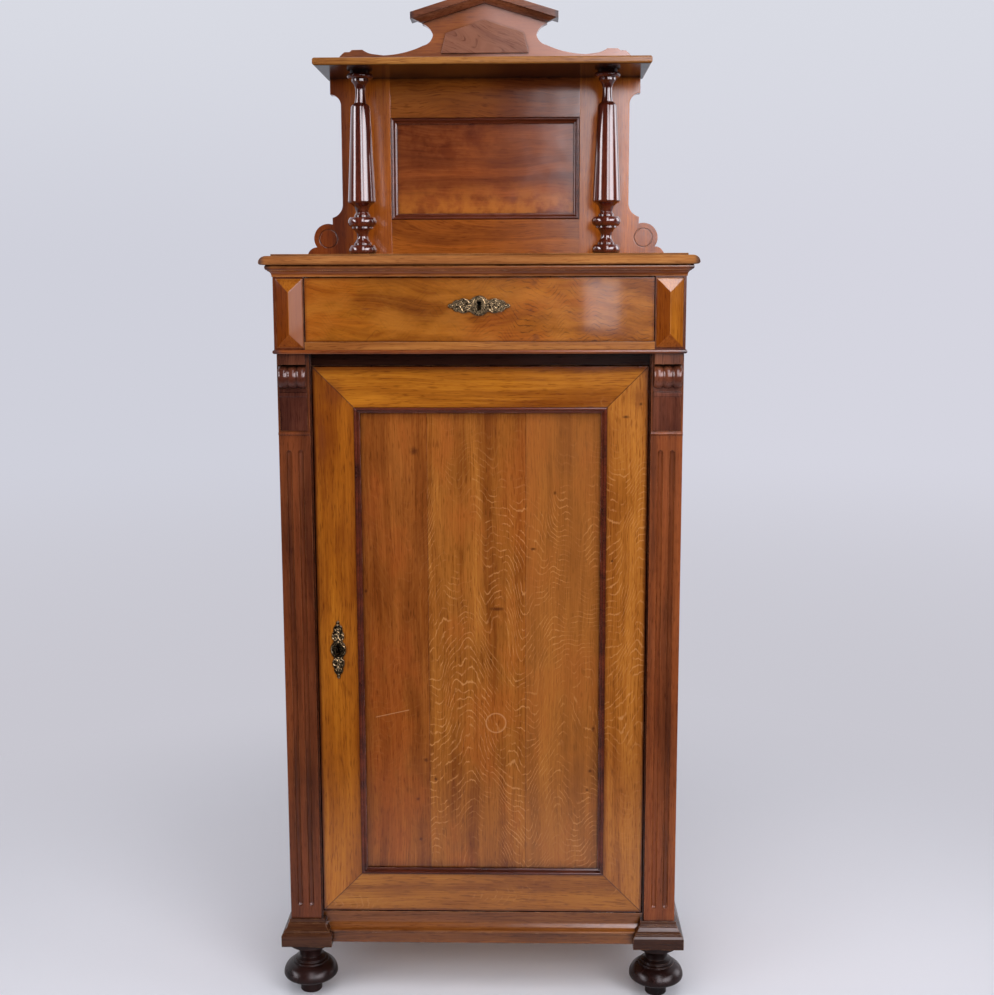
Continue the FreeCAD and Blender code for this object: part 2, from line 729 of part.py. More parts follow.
def make_front_ornament():
    """Pilasters, corbels and the facet blocks beside the drawer."""
    body = front_plate("pilaster", rectangle((pilaster_inner, case_half), (z_case, z_apron)), pilaster_face,
                       size["pilaster_thickness"])
    half_width = size["flute_width"] / 2
    depth = size["flute_depth"]
    radius = (half_width * half_width + depth * depth) / (depth * 2)
    flute_low = z_case + size["flute_foot_margin"]
    flute_high = z_apron - size["flute_head_drop"]
    for number, sign in enumerate((-1, 1), start=1):
        centre_x = pilaster_centre + size["flute_spacing"] / 2 * sign
        sketch = sketch_on(body, f"flute_{number}", "YZ_Plane", centre_x,
                           (pilaster_face - (radius - depth), 0))
        draw(sketch, [(0, flute_low), (radius * 0.72, flute_low + radius * 0.3),
                      (radius, flute_low + radius), (radius, flute_high - radius),
                      (radius * 0.72, flute_high - radius * 0.3), (0, flute_high)])
        groove = body.newObject("PartDesign::Groove", f"flute_{number}_groove")
        groove.Profile = sketch
        groove.ReferenceAxis = (sketch, ["V_Axis"])
        groove.Angle = 360
    bead_top = z_apron - size["bead_drop"] + size["bead_height"] / 2
    bead_low = bead_top - size["bead_height"]
    bead_bulge = (size["bead_projection"] * 2 / size["bead_height"]).value
    bead = side_strip("pilaster_bead", [(pilaster_face, bead_low, -bead_bulge), (pilaster_face, bead_top)],
                      pilaster_inner, case_half - pilaster_inner)
    pair("pilaster", fuse("pilaster_with_bead", body, bead))

    # The corbel is drawn round the axis of its scroll
    scroll_y = pilaster_face - size["scroll_projection"] + size["scroll_radius"]
    scroll_z = z_apron - size["scroll_drop"]
    wall = pilaster_face - scroll_y
    half = size["corbel_width"] / 2
    radius = size["scroll_radius"]
    ceiling = z_apron - scroll_z
    corbel = new_body("corbel")
    scroll = sketch_on(corbel, "corbel_scroll", "YZ_Plane", -half)
    rim = root(radius * radius - wall * wall)
    arc_bulge = math.tan((math.pi - 2 * math.atan2(-wall.value, rim.value)) / 4)
    draw(scroll, [(wall, rim, arc_bulge), (wall, -rim)])
    pad(corbel, scroll, size["corbel_width"])

    reed_width = size["corbel_width"] / REED_COUNT
    flank = (reed_width - size["reed_crown_width"]) / 2
    valley_level = size["reed_groove_depth"] - radius
    reed_bulge = -math.tan(math.atan2(size["reed_groove_depth"].value, flank.value) / 2)
    rim_level = -(radius + over)
    for number in range(REED_COUNT + 1):
        valley = reed_width * number - half
        first = number == 0
        last = number == REED_COUNT
        left = valley - over if first else valley - flank
        right = valley + over if last else valley + flank
        profile = [(left, rim_level), (right, rim_level)]
        profile += [(right, valley_level)] if last else [(right, -radius, reed_bulge)]
        profile += [(valley, valley_level)] if first else [(valley, valley_level, reed_bulge)]
        profile += [(left, valley_level)] if first else [(left, -radius)]
        groove_sketch = sketch_on(corbel, f"reed_groove_{number + 1}", "XY_Plane", 0)
        draw(groove_sketch, profile)
        groove = corbel.newObject("PartDesign::Groove", f"reed_groove_{number + 1}_turning")
        groove.Profile = groove_sketch
        groove.ReferenceAxis = (groove_sketch, ["H_Axis"])
        groove.Angle = 360

    block_face = wall - size["corbel_block_projection"]
    block = sketch_on(corbel, "corbel_block", "YZ_Plane", -half)
    draw(block, [(wall, ceiling), (block_face, ceiling), (block_face, ceiling - size["corbel_block_height"]),
                 (wall, ceiling - size["corbel_block_height"])])
    pad(corbel, block, size["corbel_width"])
    foot = -rim
    tail_height = size["corbel_tail_height"]
    lip = size["scroll_projection"] / 4
    tail = sketch_on(corbel, "corbel_tail", "YZ_Plane", -half)
    draw(tail, [(wall, foot + lip), (wall - lip / 2, foot + lip), (wall - lip / 2, foot - lip),
                (wall - lip, foot - lip * 1.4), (wall - lip, foot - lip * 2.6),
                (wall - lip * 0.7, foot - lip * 2.9), (wall - lip * 0.25, foot - tail_height),
                (wall, foot - tail_height)])
    pad(corbel, tail, size["corbel_width"])
    for axis, place in (("x", pilaster_centre), ("y", scroll_y), ("z", scroll_z)):
        corbel.setExpression(f"Placement.Base.{axis}", place.text)
    pair("corbel", corbel)

    facet = doc.addObject("Part::Wedge", "facet")
    width = size["facet_width"]
    height = size["facet_height"]
    ridge = size["facet_ridge_width"] / 2
    spans = {"Xmin": 0, "Xmax": width, "X2min": width / 2 - ridge, "X2max": width / 2 + ridge,
             "Ymin": 0, "Ymax": size["facet_relief"], "Zmin": 0, "Zmax": height,
             "Z2min": width / 2, "Z2max": height - width / 2}
    for key, span in spans.items():
        facet.setExpression(key, as_size(span).text)
    facet.Placement = FreeCAD.Placement(FreeCAD.Vector(), FreeCAD.Rotation(FreeCAD.Vector(0, 0, 1), 180))
    middle = (z_drawer_rail + z_cornice) / 2
    for axis, place in (("x", pilaster_centre + width / 2), ("y", case_front), ("z", middle - height / 2)):
        facet.setExpression(f"Placement.Base.{axis}", place.text)
    part(group("facet_blocks", facet, mirrored("facet_left", facet)), "facet_blocks")


# Pivot hinges: a pin on each case plate turns in a hole of the door's plate

plate_height = size["pivot_plate_thickness"]
pin_radius = size["pivot_pin_radius"]


def plate_spans():
    half = size["pivot_plate_width"] / 2
    middle = pivot_x - size["pivot_plate_length"] / 2 + half
    return ((middle - size["pivot_plate_length"] / 2, middle + size["pivot_plate_length"] / 2),
            (pivot_y - half, pivot_y + half))


def pivot_recess(name, z_face, z_deep):
    """The housing of a pivot plate in the wood behind it."""
    x_span, y_span = plate_spans()
    low, high = (z_face, z_deep) if z_deep.value > z_face.value else (z_deep, z_face)
    return board(f"pivot_recess_{name}", x_span, y_span, (low, high))


def upright(name, radius, z_low, z_high):
    """A round pin or hole on the door's pivot axis."""
    rod = doc.addObject("Part::Cylinder", name)
    rod.setExpression("Radius", radius.text)
    rod.setExpression("Height", (z_high - z_low).text)
    for axis, place in (("x", pivot_x), ("y", pivot_y), ("z", z_low)):
        rod.setExpression(f"Placement.Base.{axis}", place.text)
    return rod


def make_pivots():
    reach = size["pivot_pin_reach"]
    lower = fuse("case_plate_low", pivot_recess("case_low", z_sill, z_sill - plate_height),
                 upright("pin_low", pin_radius, z_sill - plate_height, z_sill + reach))
    upper = fuse("case_plate_high", pivot_recess("case_high", z_head, z_head + plate_height),
                 upright("pin_high", pin_radius, z_head - reach, z_head + plate_height))
    part(group("case_pivot_plates", lower, upper), "case_pivot_plates")
    bore = pin_radius + size["pivot_running_clearance"]
    low_plate = cut("door_plate_low", pivot_recess("door_low", z_door, z_door + plate_height),
                    upright("bore_low", bore, z_door - over, z_door + plate_height + over))
    high_plate = cut("door_plate_high", pivot_recess("door_high", z_door_top, z_door_top - plate_height),
                     upright("bore_high", bore, z_door_top - plate_height - over, z_door_top + over))
    part(group("door_pivot_plates", low_plate, high_plate), "door_pivot_plates")


def pivot_housings(end):
    """What the pivots take out of the door's edge: the plate and room for the pin's end."""
    hole = pin_radius + size["pivot_hole_margin"]
    depth = size["pivot_pin_reach"] + size["pivot_hole_margin"]
    if end == "low":
        return (pivot_recess("housing_low", z_door, z_door + plate_height),
                upright("pin_room_low", hole, z_door, z_door + depth))
    return (pivot_recess("housing_high", z_door_top, z_door_top - plate_height),
            upright("pin_room_high", hole, z_door_top - depth, z_door_top))


def level_pipe(name, radius, centre_x, centre_z, y_low, length):
    """A cylinder that runs from front to back."""
    pipe = doc.addObject("Part::Cylinder", name)
    pipe.setExpression("Radius", as_size(radius).text)
    pipe.setExpression("Height", as_size(length).text)
    pipe.Placement = FreeCAD.Placement(FreeCAD.Vector(), FreeCAD.Rotation(FreeCAD.Vector(1, 0, 0), -90))
    for axis, place in (("x", centre_x), ("y", y_low), ("z", centre_z)):
        pipe.setExpression(f"Placement.Base.{axis}", as_size(place).text)
    return pipe


def keyhole(name, centre_x, centre_z, y_span):
    """A round hole over a slot, as a solid to cut with."""
    y_low, y_high = y_span
    pipe = level_pipe(f"{name}_round", size["keyhole_radius"], centre_x, centre_z, y_low, y_high - y_low)
    half = size["keyhole_slot_width"] / 2
    slot = board(f"{name}_slot", (centre_x - half, centre_x + half), y_span,
                 (centre_z - size["keyhole_drop"], centre_z))
    return fuse(name, pipe, slot)


def moulding_frame(name, half_width, z_span, width, y_panel, rise):
    """Four mitred lengths of moulding that cover the joint of a panel and its frame."""
    z_low, z_high = z_span
    lengths = []
    section = [(width * row[0], rise * row[1], *row[2:]) for row in MOULDING_SHARES]
    inside = half_width - width
    waste = {
        "bottom": [[(-half_width, z_low), (-inside, z_low + width), (-half_width, z_low + width)],
                   [(half_width, z_low), (half_width, z_low + width), (inside, z_low + width)]],
        "left": [[(-half_width, z_low), (-inside, z_low), (-inside, z_low + width)],
                 [(-half_width, z_high), (-inside, z_high - width), (-inside, z_high)]],
    }
    for side in ("bottom", "left"):
        body = new_body(f"{name}_{side}")
        if side == "bottom":
            sketch = sketch_on(body, f"{name}_{side}_section", "YZ_Plane", -half_width)
            outline = [(y_panel - out, z_low + across, *bulge) for across, out, *bulge in section]
            draw(sketch, outline)
            pad(body, sketch, half_width * 2)
        else:
            sketch = sketch_on(body, f"{name}_{side}_section", "XY_Plane", z_low)
            outline = [(across - half_width, y_panel - out, *[-b for b in bulge])
                       for across, out, *bulge in section]
            draw(sketch, outline)
            pad(body, sketch, z_high - z_low)
        for end, triangle in enumerate(waste[side], start=1):
            mitre = sketch_on(body, f"{name}_{side}_mitre_{end}", "XZ_Plane", -y_panel)
            draw(mitre, triangle)
            pocket_through(body, mitre)
        lengths.append(body)
    bottom, left = lengths
    top = doc.addObject("Part::Mirroring", f"{name}_top")
    top.Source = bottom
    top.Normal = FreeCAD.Vector(0, 0, 1)
    top.setExpression("Base.z", ((z_low + z_high) / 2).text)
    return group(name, bottom, left, top, mirrored(f"{name}_right", left))


def escutcheon(name, centre_x, centre_z, y_face, length, width, upright_plate):
    """A lobed key plate with its keyhole. Its long axis is level, or upright on the door."""
    quarter = [(length / 2 * row[0], width / 2 * row[1], *row[2:]) for row in ESCUTCHEON_SHARES]
    second = [(-x, y, bulge) for x, y, bulge in reverse_walk(quarter)]
    third = [(-x, -y, *bulge) for x, y, *bulge in quarter]
    fourth = [(x, -y, bulge) for x, y, bulge in reverse_walk(quarter)]
    outline = quarter[:-1] + second[:-1] + third[:-1] + fourth[:-1]
    if upright_plate:
        outline = [(-y, x, *bulge) for x, y, *bulge in outline]
    placed = [(centre_x + x, centre_z + z, *bulge) for x, z, *bulge in outline]
    plate = front_plate(f"{name}_plate", placed, y_face - size["escutcheon_thickness"],
                        size["escutcheon_thickness"])
    boss_front = y_face - size["escutcheon_thickness"] - size["escutcheon_boss_rise"]
    half_width = size["escutcheon_boss_width"] / 2
    half_height = size["escutcheon_boss_height"] / 2
    oval = [(centre_x + half_width, centre_z, 0.3), (centre_x, centre_z + half_height, 0.3),
            (centre_x - half_width, centre_z, 0.3), (centre_x, centre_z - half_height, 0.3)]
    boss = front_plate(f"{name}_boss", oval, boss_front, y_face - boss_front)
    hole = keyhole(f"{name}_keyhole", as_size(centre_x), centre_z + size["keyhole_rise"],
                   (boss_front - over, y_face + over))
    return cut(name, fuse(f"{name}_body", plate, boss), hole)


def reverse_walk(points):
    """The same points in reverse, each arc kept on its own stretch."""
    walked = []
    for number in range(len(points) - 1, -1, -1):
        bulge = points[number - 1][2] if number > 0 and len(points[number - 1]) > 2 else 0.0
        walked.append((points[number][0], points[number][1], bulge))
    return walked


def make_door():
    frame = size["door_frame_width"]
    inner_half = door_half - frame
    z_low = z_door + frame
    z_high = z_door_top - frame
    groove = size["groove_depth"]
    panel_front = door_face + size["door_panel_recess"]
    panel_back = panel_front + size["panel_thickness"]
    space = board("door_panel_space", (-(inner_half + groove), inner_half + groove),
                  (panel_front, panel_back), (z_low - groove, z_high + groove))
    thick = size["door_thickness"]
    stile = [(door_half, z_door), (door_half, z_door_top), (inner_half, z_high), (inner_half, z_low)]
    rail = [(-door_half, z_door), (door_half, z_door), (inner_half, z_low), (-inner_half, z_low)]
    rail_top = [(-door_half, z_door_top), (-inner_half, z_high), (inner_half, z_high), (door_half, z_door_top)]
    housing_low = pivot_housings("low")
    housing_high = pivot_housings("high")
    right = front_plate("door_stile_right", stile, door_face, thick)
    part(cut("door_stile_right", right, space, *housing_low, *housing_high), "door_stile_right")
    left = front_plate("door_stile_left", [(-x, z) for x, z in reversed(stile)], door_face, thick)
    hole = keyhole("door_keyhole", door_lock_x, door_key_z, (door_face - over, door_back + over))
    part(cut("door_stile_left", left, space, hole), "door_stile_left")
    bottom = front_plate("door_rail_bottom", rail, door_face, thick)
    part(cut("door_rail_bottom", bottom, space, *housing_low), "door_rail_bottom")
    top = front_plate("door_rail_top", rail_top, door_face, thick)
    part(cut("door_rail_top", top, space, *housing_high), "door_rail_top")

    joints = (-(inner_half + groove), -size["plank_joint_left"], size["plank_joint_right"],
              inner_half + groove)
    planks = [board(f"door_plank_{number + 1}", (joints[number], joints[number + 1]),
                    (panel_front, panel_back), (z_low - groove, z_high + groove)) for number in range(3)]
    part(group("door_panel", *planks), "door_panel")
    part(moulding_frame("door_panel_moulding", inner_half, (z_low, z_high), size["door_moulding_width"],
                        panel_front, size["door_panel_recess"] + size["door_moulding_rise"]),
         "door_panel_moulding")
    part(escutcheon("door_escutcheon", door_lock_x, door_lock_z, door_face,
                    size["escutcheon_length"], size["door_escutcheon_width"], True), "door_escutcheon")
    make_pivots()
    make_door_lock()


def make_door_lock():
    """A lock case on the back of the stile, with a bolt that slides sideways into the post."""
    clear = size["bolt_clearance"]
    bolt_front = door_back + size["bolt_back_margin"]
    bolt_y = (bolt_front, bolt_front + size["bolt_thickness"])
    half_bolt = size["bolt_width"] / 2
    channel = board("door_bolt_channel", (-(door_half + over), size["bolt_length"] + clear - door_half),
                    (bolt_y[0] - clear, bolt_y[1] + clear),
                    (door_lock_z - half_bolt - clear, door_lock_z + half_bolt + clear))
    case = board("door_lock_box", (-door_half, size["door_lock_width"] - door_half),
                 (door_back, door_back + size["lock_depth"]),
                 (door_lock_z - size["door_lock_height"] / 2, door_lock_z + size["door_lock_height"] / 2))
    part(cut("door_lock_case", case, channel), "door_lock_case")
    part(board("door_lock_bolt", (-door_half, size["bolt_length"] - door_half), bolt_y,
               (door_lock_z - half_bolt, door_lock_z + half_bolt)), "door_lock_bolt")


def make_drawer():
    front_half = head_half - size["drawer_side_gap"]
    box_half = opening_half - size["drawer_post_clearance"]
    box_inner = box_half - size["drawer_wall"]
    front_back = case_front + size["drawer_front_thickness"]
    box_rear = back_face - size["drawer_back_gap"]
    z_box = z_drawer_bay + size["drawer_running_gap"]
    bottom_low = z_box + size["drawer_bottom_rise"]
    bottom_high = bottom_low + size["drawer_bottom_thickness"]
    wall_top = z_box + size["drawer_side_height"]
    face = board("drawer_face", (-front_half, front_half), (case_front, front_back), (z_drawer, z_drawer_top))
    hole = keyhole("drawer_keyhole", as_size(0), drawer_key_z, (case_front - over, front_back + over))
    part(cut("drawer_front", face, hole), "drawer_front")
    pair("drawer_side", board("drawer_side_board", (box_inner, box_half), (front_back, box_rear),
                              (z_box, wall_top)))
    part(board("drawer_back", (-box_inner, box_inner), (box_rear - size["drawer_wall"], box_rear),
               (bottom_high, wall_top - size["drawer_back_drop"])), "drawer_back")
    part(board("drawer_bottom", (-box_inner, box_inner), (front_back, box_rear), (bottom_low, bottom_high)),
         "drawer_bottom")
    part(escutcheon("drawer_escutcheon", as_size(0), drawer_lock_z, case_front,
                    size["escutcheon_length"], size["escutcheon_width"], False), "drawer_escutcheon")

    clear = size["bolt_clearance"]
    bolt_front = front_back + size["bolt_back_margin"]
    bolt_y = (bolt_front, bolt_front + size["bolt_thickness"])
    half_bolt = size["bolt_width"] / 2
    channel = board("drawer_bolt_channel", (-half_bolt - clear, half_bolt + clear),
                    (bolt_y[0] - clear, bolt_y[1] + clear),
                    (z_drawer_top - size["bolt_length"] - clear, z_drawer_top + over))
    case = board("drawer_lock_box", (-size["drawer_lock_width"] / 2, size["drawer_lock_width"] / 2),
                 (front_back, front_back + size["lock_depth"]),
                 (z_drawer_top - size["drawer_lock_height"], z_drawer_top))
    part(cut("drawer_lock_case", case, channel), "drawer_lock_case")
    part(board("drawer_lock_bolt", (-half_bolt, half_bolt), bolt_y,
               (z_drawer_top - size["bolt_length"], z_drawer_top)), "drawer_lock_bolt")


def make_gallery():
    thick = size["gallery_thickness"]
    panel_half = top_half - size["gallery_panel_margin"]
    panel_low = z_top + size["gallery_panel_bottom"]
    panel_high = z_top + size["gallery_panel_top"]
    groove = size["groove_depth"]
    panel_front = gallery_face + size["gallery_panel_recess"]
    panel = board("gallery_panel", (-(panel_half + groove), panel_half + groove),
                  (panel_front, panel_front + size["panel_thickness"]), (panel_low - groove, panel_high + groove))
    part(panel, "gallery_panel")

    # The wing runs up from its toe over the scroll disc, the waist and the horn
    disc = size["scroll_disc_radius"]
    disc_x = top_half - size["scroll_disc_margin"]
    disc_z = z_top + size["scroll_disc_height"]
    toe = size["gallery_foot_radius"] + size["gallery_foot_toe"]
    drop = disc_z - z_top - toe
    disc_foot = disc_x + root(disc * disc - drop * drop)
    horn = top_half - size["horn_margin"]
    lean = disc_x - horn
    disc_head = disc_z + root(disc * disc - lean * lean)
    sweep = math.atan2((disc_head - disc_z).value, -lean.value) + math.atan2(drop.value, (disc_foot - disc_x).value)
    waist = top_half - size["waist_margin"]
    quarter = math.tan(math.pi / 8)
    wing = [(panel_half, z_top), (disc_foot + size["gallery_foot_radius"], z_top),
            (disc_foot + size["gallery_foot_radius"], z_top + size["gallery_foot_toe"], quarter),
            (disc_foot, z_top + toe, math.tan(sweep / 4)), (horn, disc_head),
            (horn, z_top + size["horn_low"], -quarter * 0.8), (waist, z_top + size["waist_low"]),
            (waist, z_top + size["waist_high"], -quarter), (horn, z_top + size["horn_high"]),
            (horn, z_shelf), (panel_half, z_shelf)]
    wing_plate = cut("gallery_stile", front_plate("gallery_wing", wing, gallery_face, thick), panel)
    ring_outer = size["scroll_ring_radius"] + size["scroll_ring_width"] / 2
    rims = []
    for label, radius in (("outer", ring_outer), ("inner", ring_outer - size["scroll_ring_width"])):
        rims.append(level_pipe(f"scroll_ring_{label}", radius, disc_x, disc_z, gallery_face - over,
                               size["scroll_ring_depth"] + over))
    pair("gallery_stile", cut("gallery_stile_ringed", wing_plate, cut("scroll_ring", rims[0], rims[1])))
    rail_span = (-panel_half, panel_half)
    rails = [board("gallery_rail_low", rail_span, (gallery_face, gallery_back), (z_top, panel_low)),
             board("gallery_rail_high", rail_span, (gallery_face, gallery_back), (panel_high, z_shelf))]
    part(group("gallery_rails", *[cut(rail.Name, rail, panel) for rail in rails]), "gallery_rails")
    part(moulding_frame("gallery_panel_moulding", panel_half, (panel_low, panel_high),
                        size["gallery_moulding_width"], panel_front,
                        size["gallery_panel_recess"] + size["gallery_moulding_rise"]),
         "gallery_panel_moulding")

    edge = size["gallery_shelf_round"]
    shelf_front = gallery_back - size["gallery_shelf_front"]
    shelf_wall = top_half - size["gallery_shelf_margin"] - edge
    part(moulded_slab("gallery_shelf", SHELF_EDGE_SHARES, (-shelf_wall, shelf_wall), shelf_front + edge,
                      gallery_back, z_shelf, size["gallery_shelf_thickness"], edge),
         "gallery_shelf")
    for side, sign in (("left", -1), ("right", 1)):
        name = f"column_{side}"
        part(turned(name, COLUMN_SHARES, size["column_radius"], size["gallery_height"],
                    (top_half - size["column_margin"]) * sign, gallery_back - size["column_front"], z_top), name)


def make_crest():
    thick = size["gallery_thickness"]
    slope = size["gable_rise"] / size["gable_half"]
    cap_under = z_crest + size["gable_foot_height"] + size["gable_cove_height"]
    shoulder = cap_under
    apex = cap_under + size["gable_rise"]
    half = top_half - size["crest_margin"]
    ear = size["ear_height"]
    neck = size["neck_half"]
    neck_z = z_crest + size["neck_height"]
    right = [(half, z_crest)]
    right += [(half * row[0], z_crest + ear * row[1], *row[2:]) for row in CREST_EAR_SHARES]
    right += [(half * row[0], z_crest + ear * row[1] * 1.65, *row[2:]) for row in CREST_SWEEP_SHARES]
    right += [(neck, neck_z, -0.25), (size["gable_half"], z_crest + size["gable_foot_height"]),
              (size["gable_half"], shoulder)]
    outline = right + [(0, apex)] + mirror_left(right)
    part(front_plate("crest_board", outline, gallery_face, thick), "crest_board")

    lift = z_crest + size["tablet_lift"]
    peak = lift + size["tablet_height"]
    tablet = [(size["tablet_foot_half"], lift), (size["tablet_shoulder_half"], peak - size["tablet_shoulder_drop"]),
              (0, peak), (-size["tablet_shoulder_half"], peak - size["tablet_shoulder_drop"]),
              (-size["tablet_foot_half"], lift)]
    part(front_plate("crest_tablet", tablet, gallery_face - size["tablet_thickness"],
                     size["tablet_thickness"]), "crest_tablet")

    # The gable moulding is drawn in the upright mitre at the peak and run down the slope
    cove = size["gable_cove_height"]
    cap = size["gable_cap_thickness"]
    cap_front = gallery_face - size["gable_cap_projection"]
    cove_front = gallery_face - size["gable_cove_projection"]
    section = [(gallery_back + size["gable_cap_lap"], apex), (gallery_back + size["gable_cap_lap"], apex + cap),
               (cap_front, apex + cap), (cap_front, apex), (cove_front, apex, 0.3),
               (gallery_face, apex - cove), (gallery_face, apex)]
    body = new_body("gable")
    sketch = sketch_on(body, "gable_section", "YZ_Plane", 0)
    draw(sketch, section)
    run = pad(body, sketch, size["gable_tip_half"])
    run.UseCustomVector = True
    run.AlongSketchNormal = True
    run.Direction = FreeCAD.Vector(1, 0, -slope.value)
    tip = size["gable_tip_half"]
    end_cut = sketch_on(body, "gable_end", "XZ_Plane", -gallery_face)
    cap_low = apex - slope * tip
    draw(end_cut, [(size["gable_half"], apex - slope * size["gable_half"] - cove - over),
                   (tip + over, cap_low - cove - over), (tip + over, cap_low - slope * over),
                   (tip, cap_low), (tip - size["gable_cap_thickness"] / 3, cap_low + slope * size["gable_cap_thickness"] / 3),
                   (size["gable_half"], apex - slope * size["gable_half"] - cove)])
    pocket_through(body, end_cut)
    part(group("gable_moulding", body, mirrored("gable_left", body)), "gable_moulding")


def mirror_left(points):
    """Mirror image of a right-hand outline, walked back down."""
    return [(-x, z, bulge) for x, z, bulge in reverse_walk(points)]


make_feet()
make_plinth()
make_sides()
make_carcass()
make_inside()
make_front_ornament()
make_door()
make_drawer()
make_gallery()
make_crest()
doc.recompute()

for thing in doc.Objects:
    if "Invalid" in thing.State or "Error" in thing.State:
        raise RuntimeError(f"{thing.Name} did not build: {thing.State}")
os.makedirs("parts", exist_ok=True)
for subpart in subparts:
    shape = subpart.Shape
    if shape.isNull() or not shape.isValid() or shape.Volume <= 0:
        raise RuntimeError(f"{subpart.Label} has no sound solid")
    shape.exportStep(f"parts/{subpart.Label}.step")
print(f"{len(subparts)} sub-parts, {sum(len(s.Shape.Solids) for s in subparts)} solids")
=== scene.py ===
import math

import bmesh
import bpy
from mathutils import Matrix, Vector


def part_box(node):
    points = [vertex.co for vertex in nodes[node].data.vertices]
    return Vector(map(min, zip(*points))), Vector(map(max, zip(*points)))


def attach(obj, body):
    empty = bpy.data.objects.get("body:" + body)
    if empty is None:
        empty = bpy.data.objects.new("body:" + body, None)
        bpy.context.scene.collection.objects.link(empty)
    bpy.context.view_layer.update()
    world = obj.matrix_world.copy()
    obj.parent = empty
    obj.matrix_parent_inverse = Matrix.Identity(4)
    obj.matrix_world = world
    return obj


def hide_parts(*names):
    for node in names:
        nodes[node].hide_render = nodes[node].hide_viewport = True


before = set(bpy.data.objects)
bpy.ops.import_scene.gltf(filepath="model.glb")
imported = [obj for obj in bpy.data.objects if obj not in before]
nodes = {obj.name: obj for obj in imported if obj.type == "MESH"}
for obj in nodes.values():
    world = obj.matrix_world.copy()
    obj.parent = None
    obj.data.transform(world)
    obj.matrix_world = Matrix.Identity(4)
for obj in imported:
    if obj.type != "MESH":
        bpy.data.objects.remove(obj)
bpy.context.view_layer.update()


# Shader building

def srgb(red, green, blue):
    """A display colour in 0 to 255 as the linear colour that shaders use."""
    def linear(value):
        value /= 255
        return value / 12.92 if value <= 0.04045 else ((value + 0.055) / 1.055) ** 2.4
    return (linear(red), linear(green), linear(blue), 1.0)


def put(tree, kind, inputs=None, **settings):
    """Adds a node, sets its options, and fills its sockets with values or links."""
    node = tree.nodes.new(kind)
    for name, value in settings.items():
        setattr(node, name, value)
    for key, value in (inputs or {}).items():
        if isinstance(value, bpy.types.NodeSocket):
            tree.links.new(value, node.inputs[key])
        else:
            node.inputs[key].default_value = value
    return node


def calc(tree, operation, *values):
    """One step of arithmetic on numbers or sockets."""
    return put(tree, "ShaderNodeMath", dict(enumerate(values)), operation=operation).outputs[0]


def plus(tree, first, second):
    return calc(tree, "ADD", first, second)


def minus(tree, first, second):
    return calc(tree, "SUBTRACT", first, second)


def times(tree, first, *others):
    """The product of two or more numbers or masks."""
    for other in others:
        first = calc(tree, "MULTIPLY", first, other)
    return first


def apart(tree, value, middle):
    """How far a value is from a middle, to either side."""
    return calc(tree, "ABSOLUTE", minus(tree, value, middle))


def vector_calc(tree, operation, *values):
    return put(tree, "ShaderNodeVectorMath", dict(enumerate(values)), operation=operation).outputs[0]


def measure(tree, operation, *vectors):
    """A number taken from vectors, such as their distance."""
    return put(tree, "ShaderNodeVectorMath", dict(enumerate(vectors)), operation=operation).outputs["Value"]


def object_place(tree):
    return put(tree, "ShaderNodeTexCoord").outputs["Object"]


def split(tree, vector):
    return put(tree, "ShaderNodeSeparateXYZ", {0: vector}).outputs


def join(tree, **parts):
    return put(tree, "ShaderNodeCombineXYZ", parts).outputs[0]


def noise(tree, vector, scale, detail, roughness=0.5):
    return put(tree, "ShaderNodeTexNoise", {
        "Vector": vector, "Scale": scale, "Detail": detail, "Roughness": roughness}).outputs["Fac"]


def long_noise(tree, vector, rate, detail, roughness=0.5):
    """Noise that changes at a rate of its own along each axis, in changes a metre."""
    return noise(tree, vector_calc(tree, "MULTIPLY", vector, rate), 1.0, detail, roughness)


def fade(tree, value, low, high, to_low=0.0, to_high=1.0):
    """A smooth step from one value to another."""
    return put(tree, "ShaderNodeMapRange", {
        "Value": value, "From Min": low, "From Max": high, "To Min": to_low, "To Max": to_high},
        interpolation_type="SMOOTHSTEP").outputs["Result"]


def up_to(tree, value, full, gone, strength):
    """A mask of this strength up to one value, such as a distance, which is gone at another."""
    return fade(tree, value, full, gone, strength, 0.0)


def between(tree, value, low, high, soft):
    """A soft-edged mask of the values between two limits."""
    return times(tree, fade(tree, value, low - soft, low + soft),
                 fade(tree, value, high - soft, high + soft, 1.0, 0.0))


def tint(tree, factor, first, second, mode="MIX"):
    return put(tree, "ShaderNodeMix", {0: factor, 6: first, 7: second},
               data_type="RGBA", blend_type=mode).outputs[2]


def stain(tree, factor, color, tone):
    """The colour turned to a display colour where the factor is high."""
    return tint(tree, factor, color, srgb(*tone))


def deepen(tree, factor, color, share):
    """The colour cut to a share of its red, green and blue where the factor is high."""
    return tint(tree, factor, color, (*share, 1.0), "MULTIPLY")


def blend(tree, factor, first, second):
    """A mix of two surfaces or two backgrounds."""
    return put(tree, "ShaderNodeMixShader", {0: factor, 1: first.outputs[0], 2: second.outputs[0]})


SOCKET_KINDS = {"Vector": "Vector", "Normal": "Vector", "Color": "Color", "Dirt Color": "Color",
                "Worn Color": "Color"}


def new_group(name, inputs, outputs):
    """An empty node group with sockets of these names, as (tree, input sockets, output node)."""
    tree = bpy.data.node_groups.new(name, "ShaderNodeTree")
    for side, labels in (("INPUT", inputs), ("OUTPUT", outputs)):
        for label in labels:
            kind = SOCKET_KINDS.get(label, "Float")
            tree.interface.new_socket(label, in_out=side, socket_type=f"NodeSocket{kind}")
    return tree, tree.nodes.new("NodeGroupInput").outputs, tree.nodes.new("NodeGroupOutput")


def close_group(tree, output, **sockets):
    for label, socket in sockets.items():
        tree.links.new(socket, output.inputs[label])
    return tree


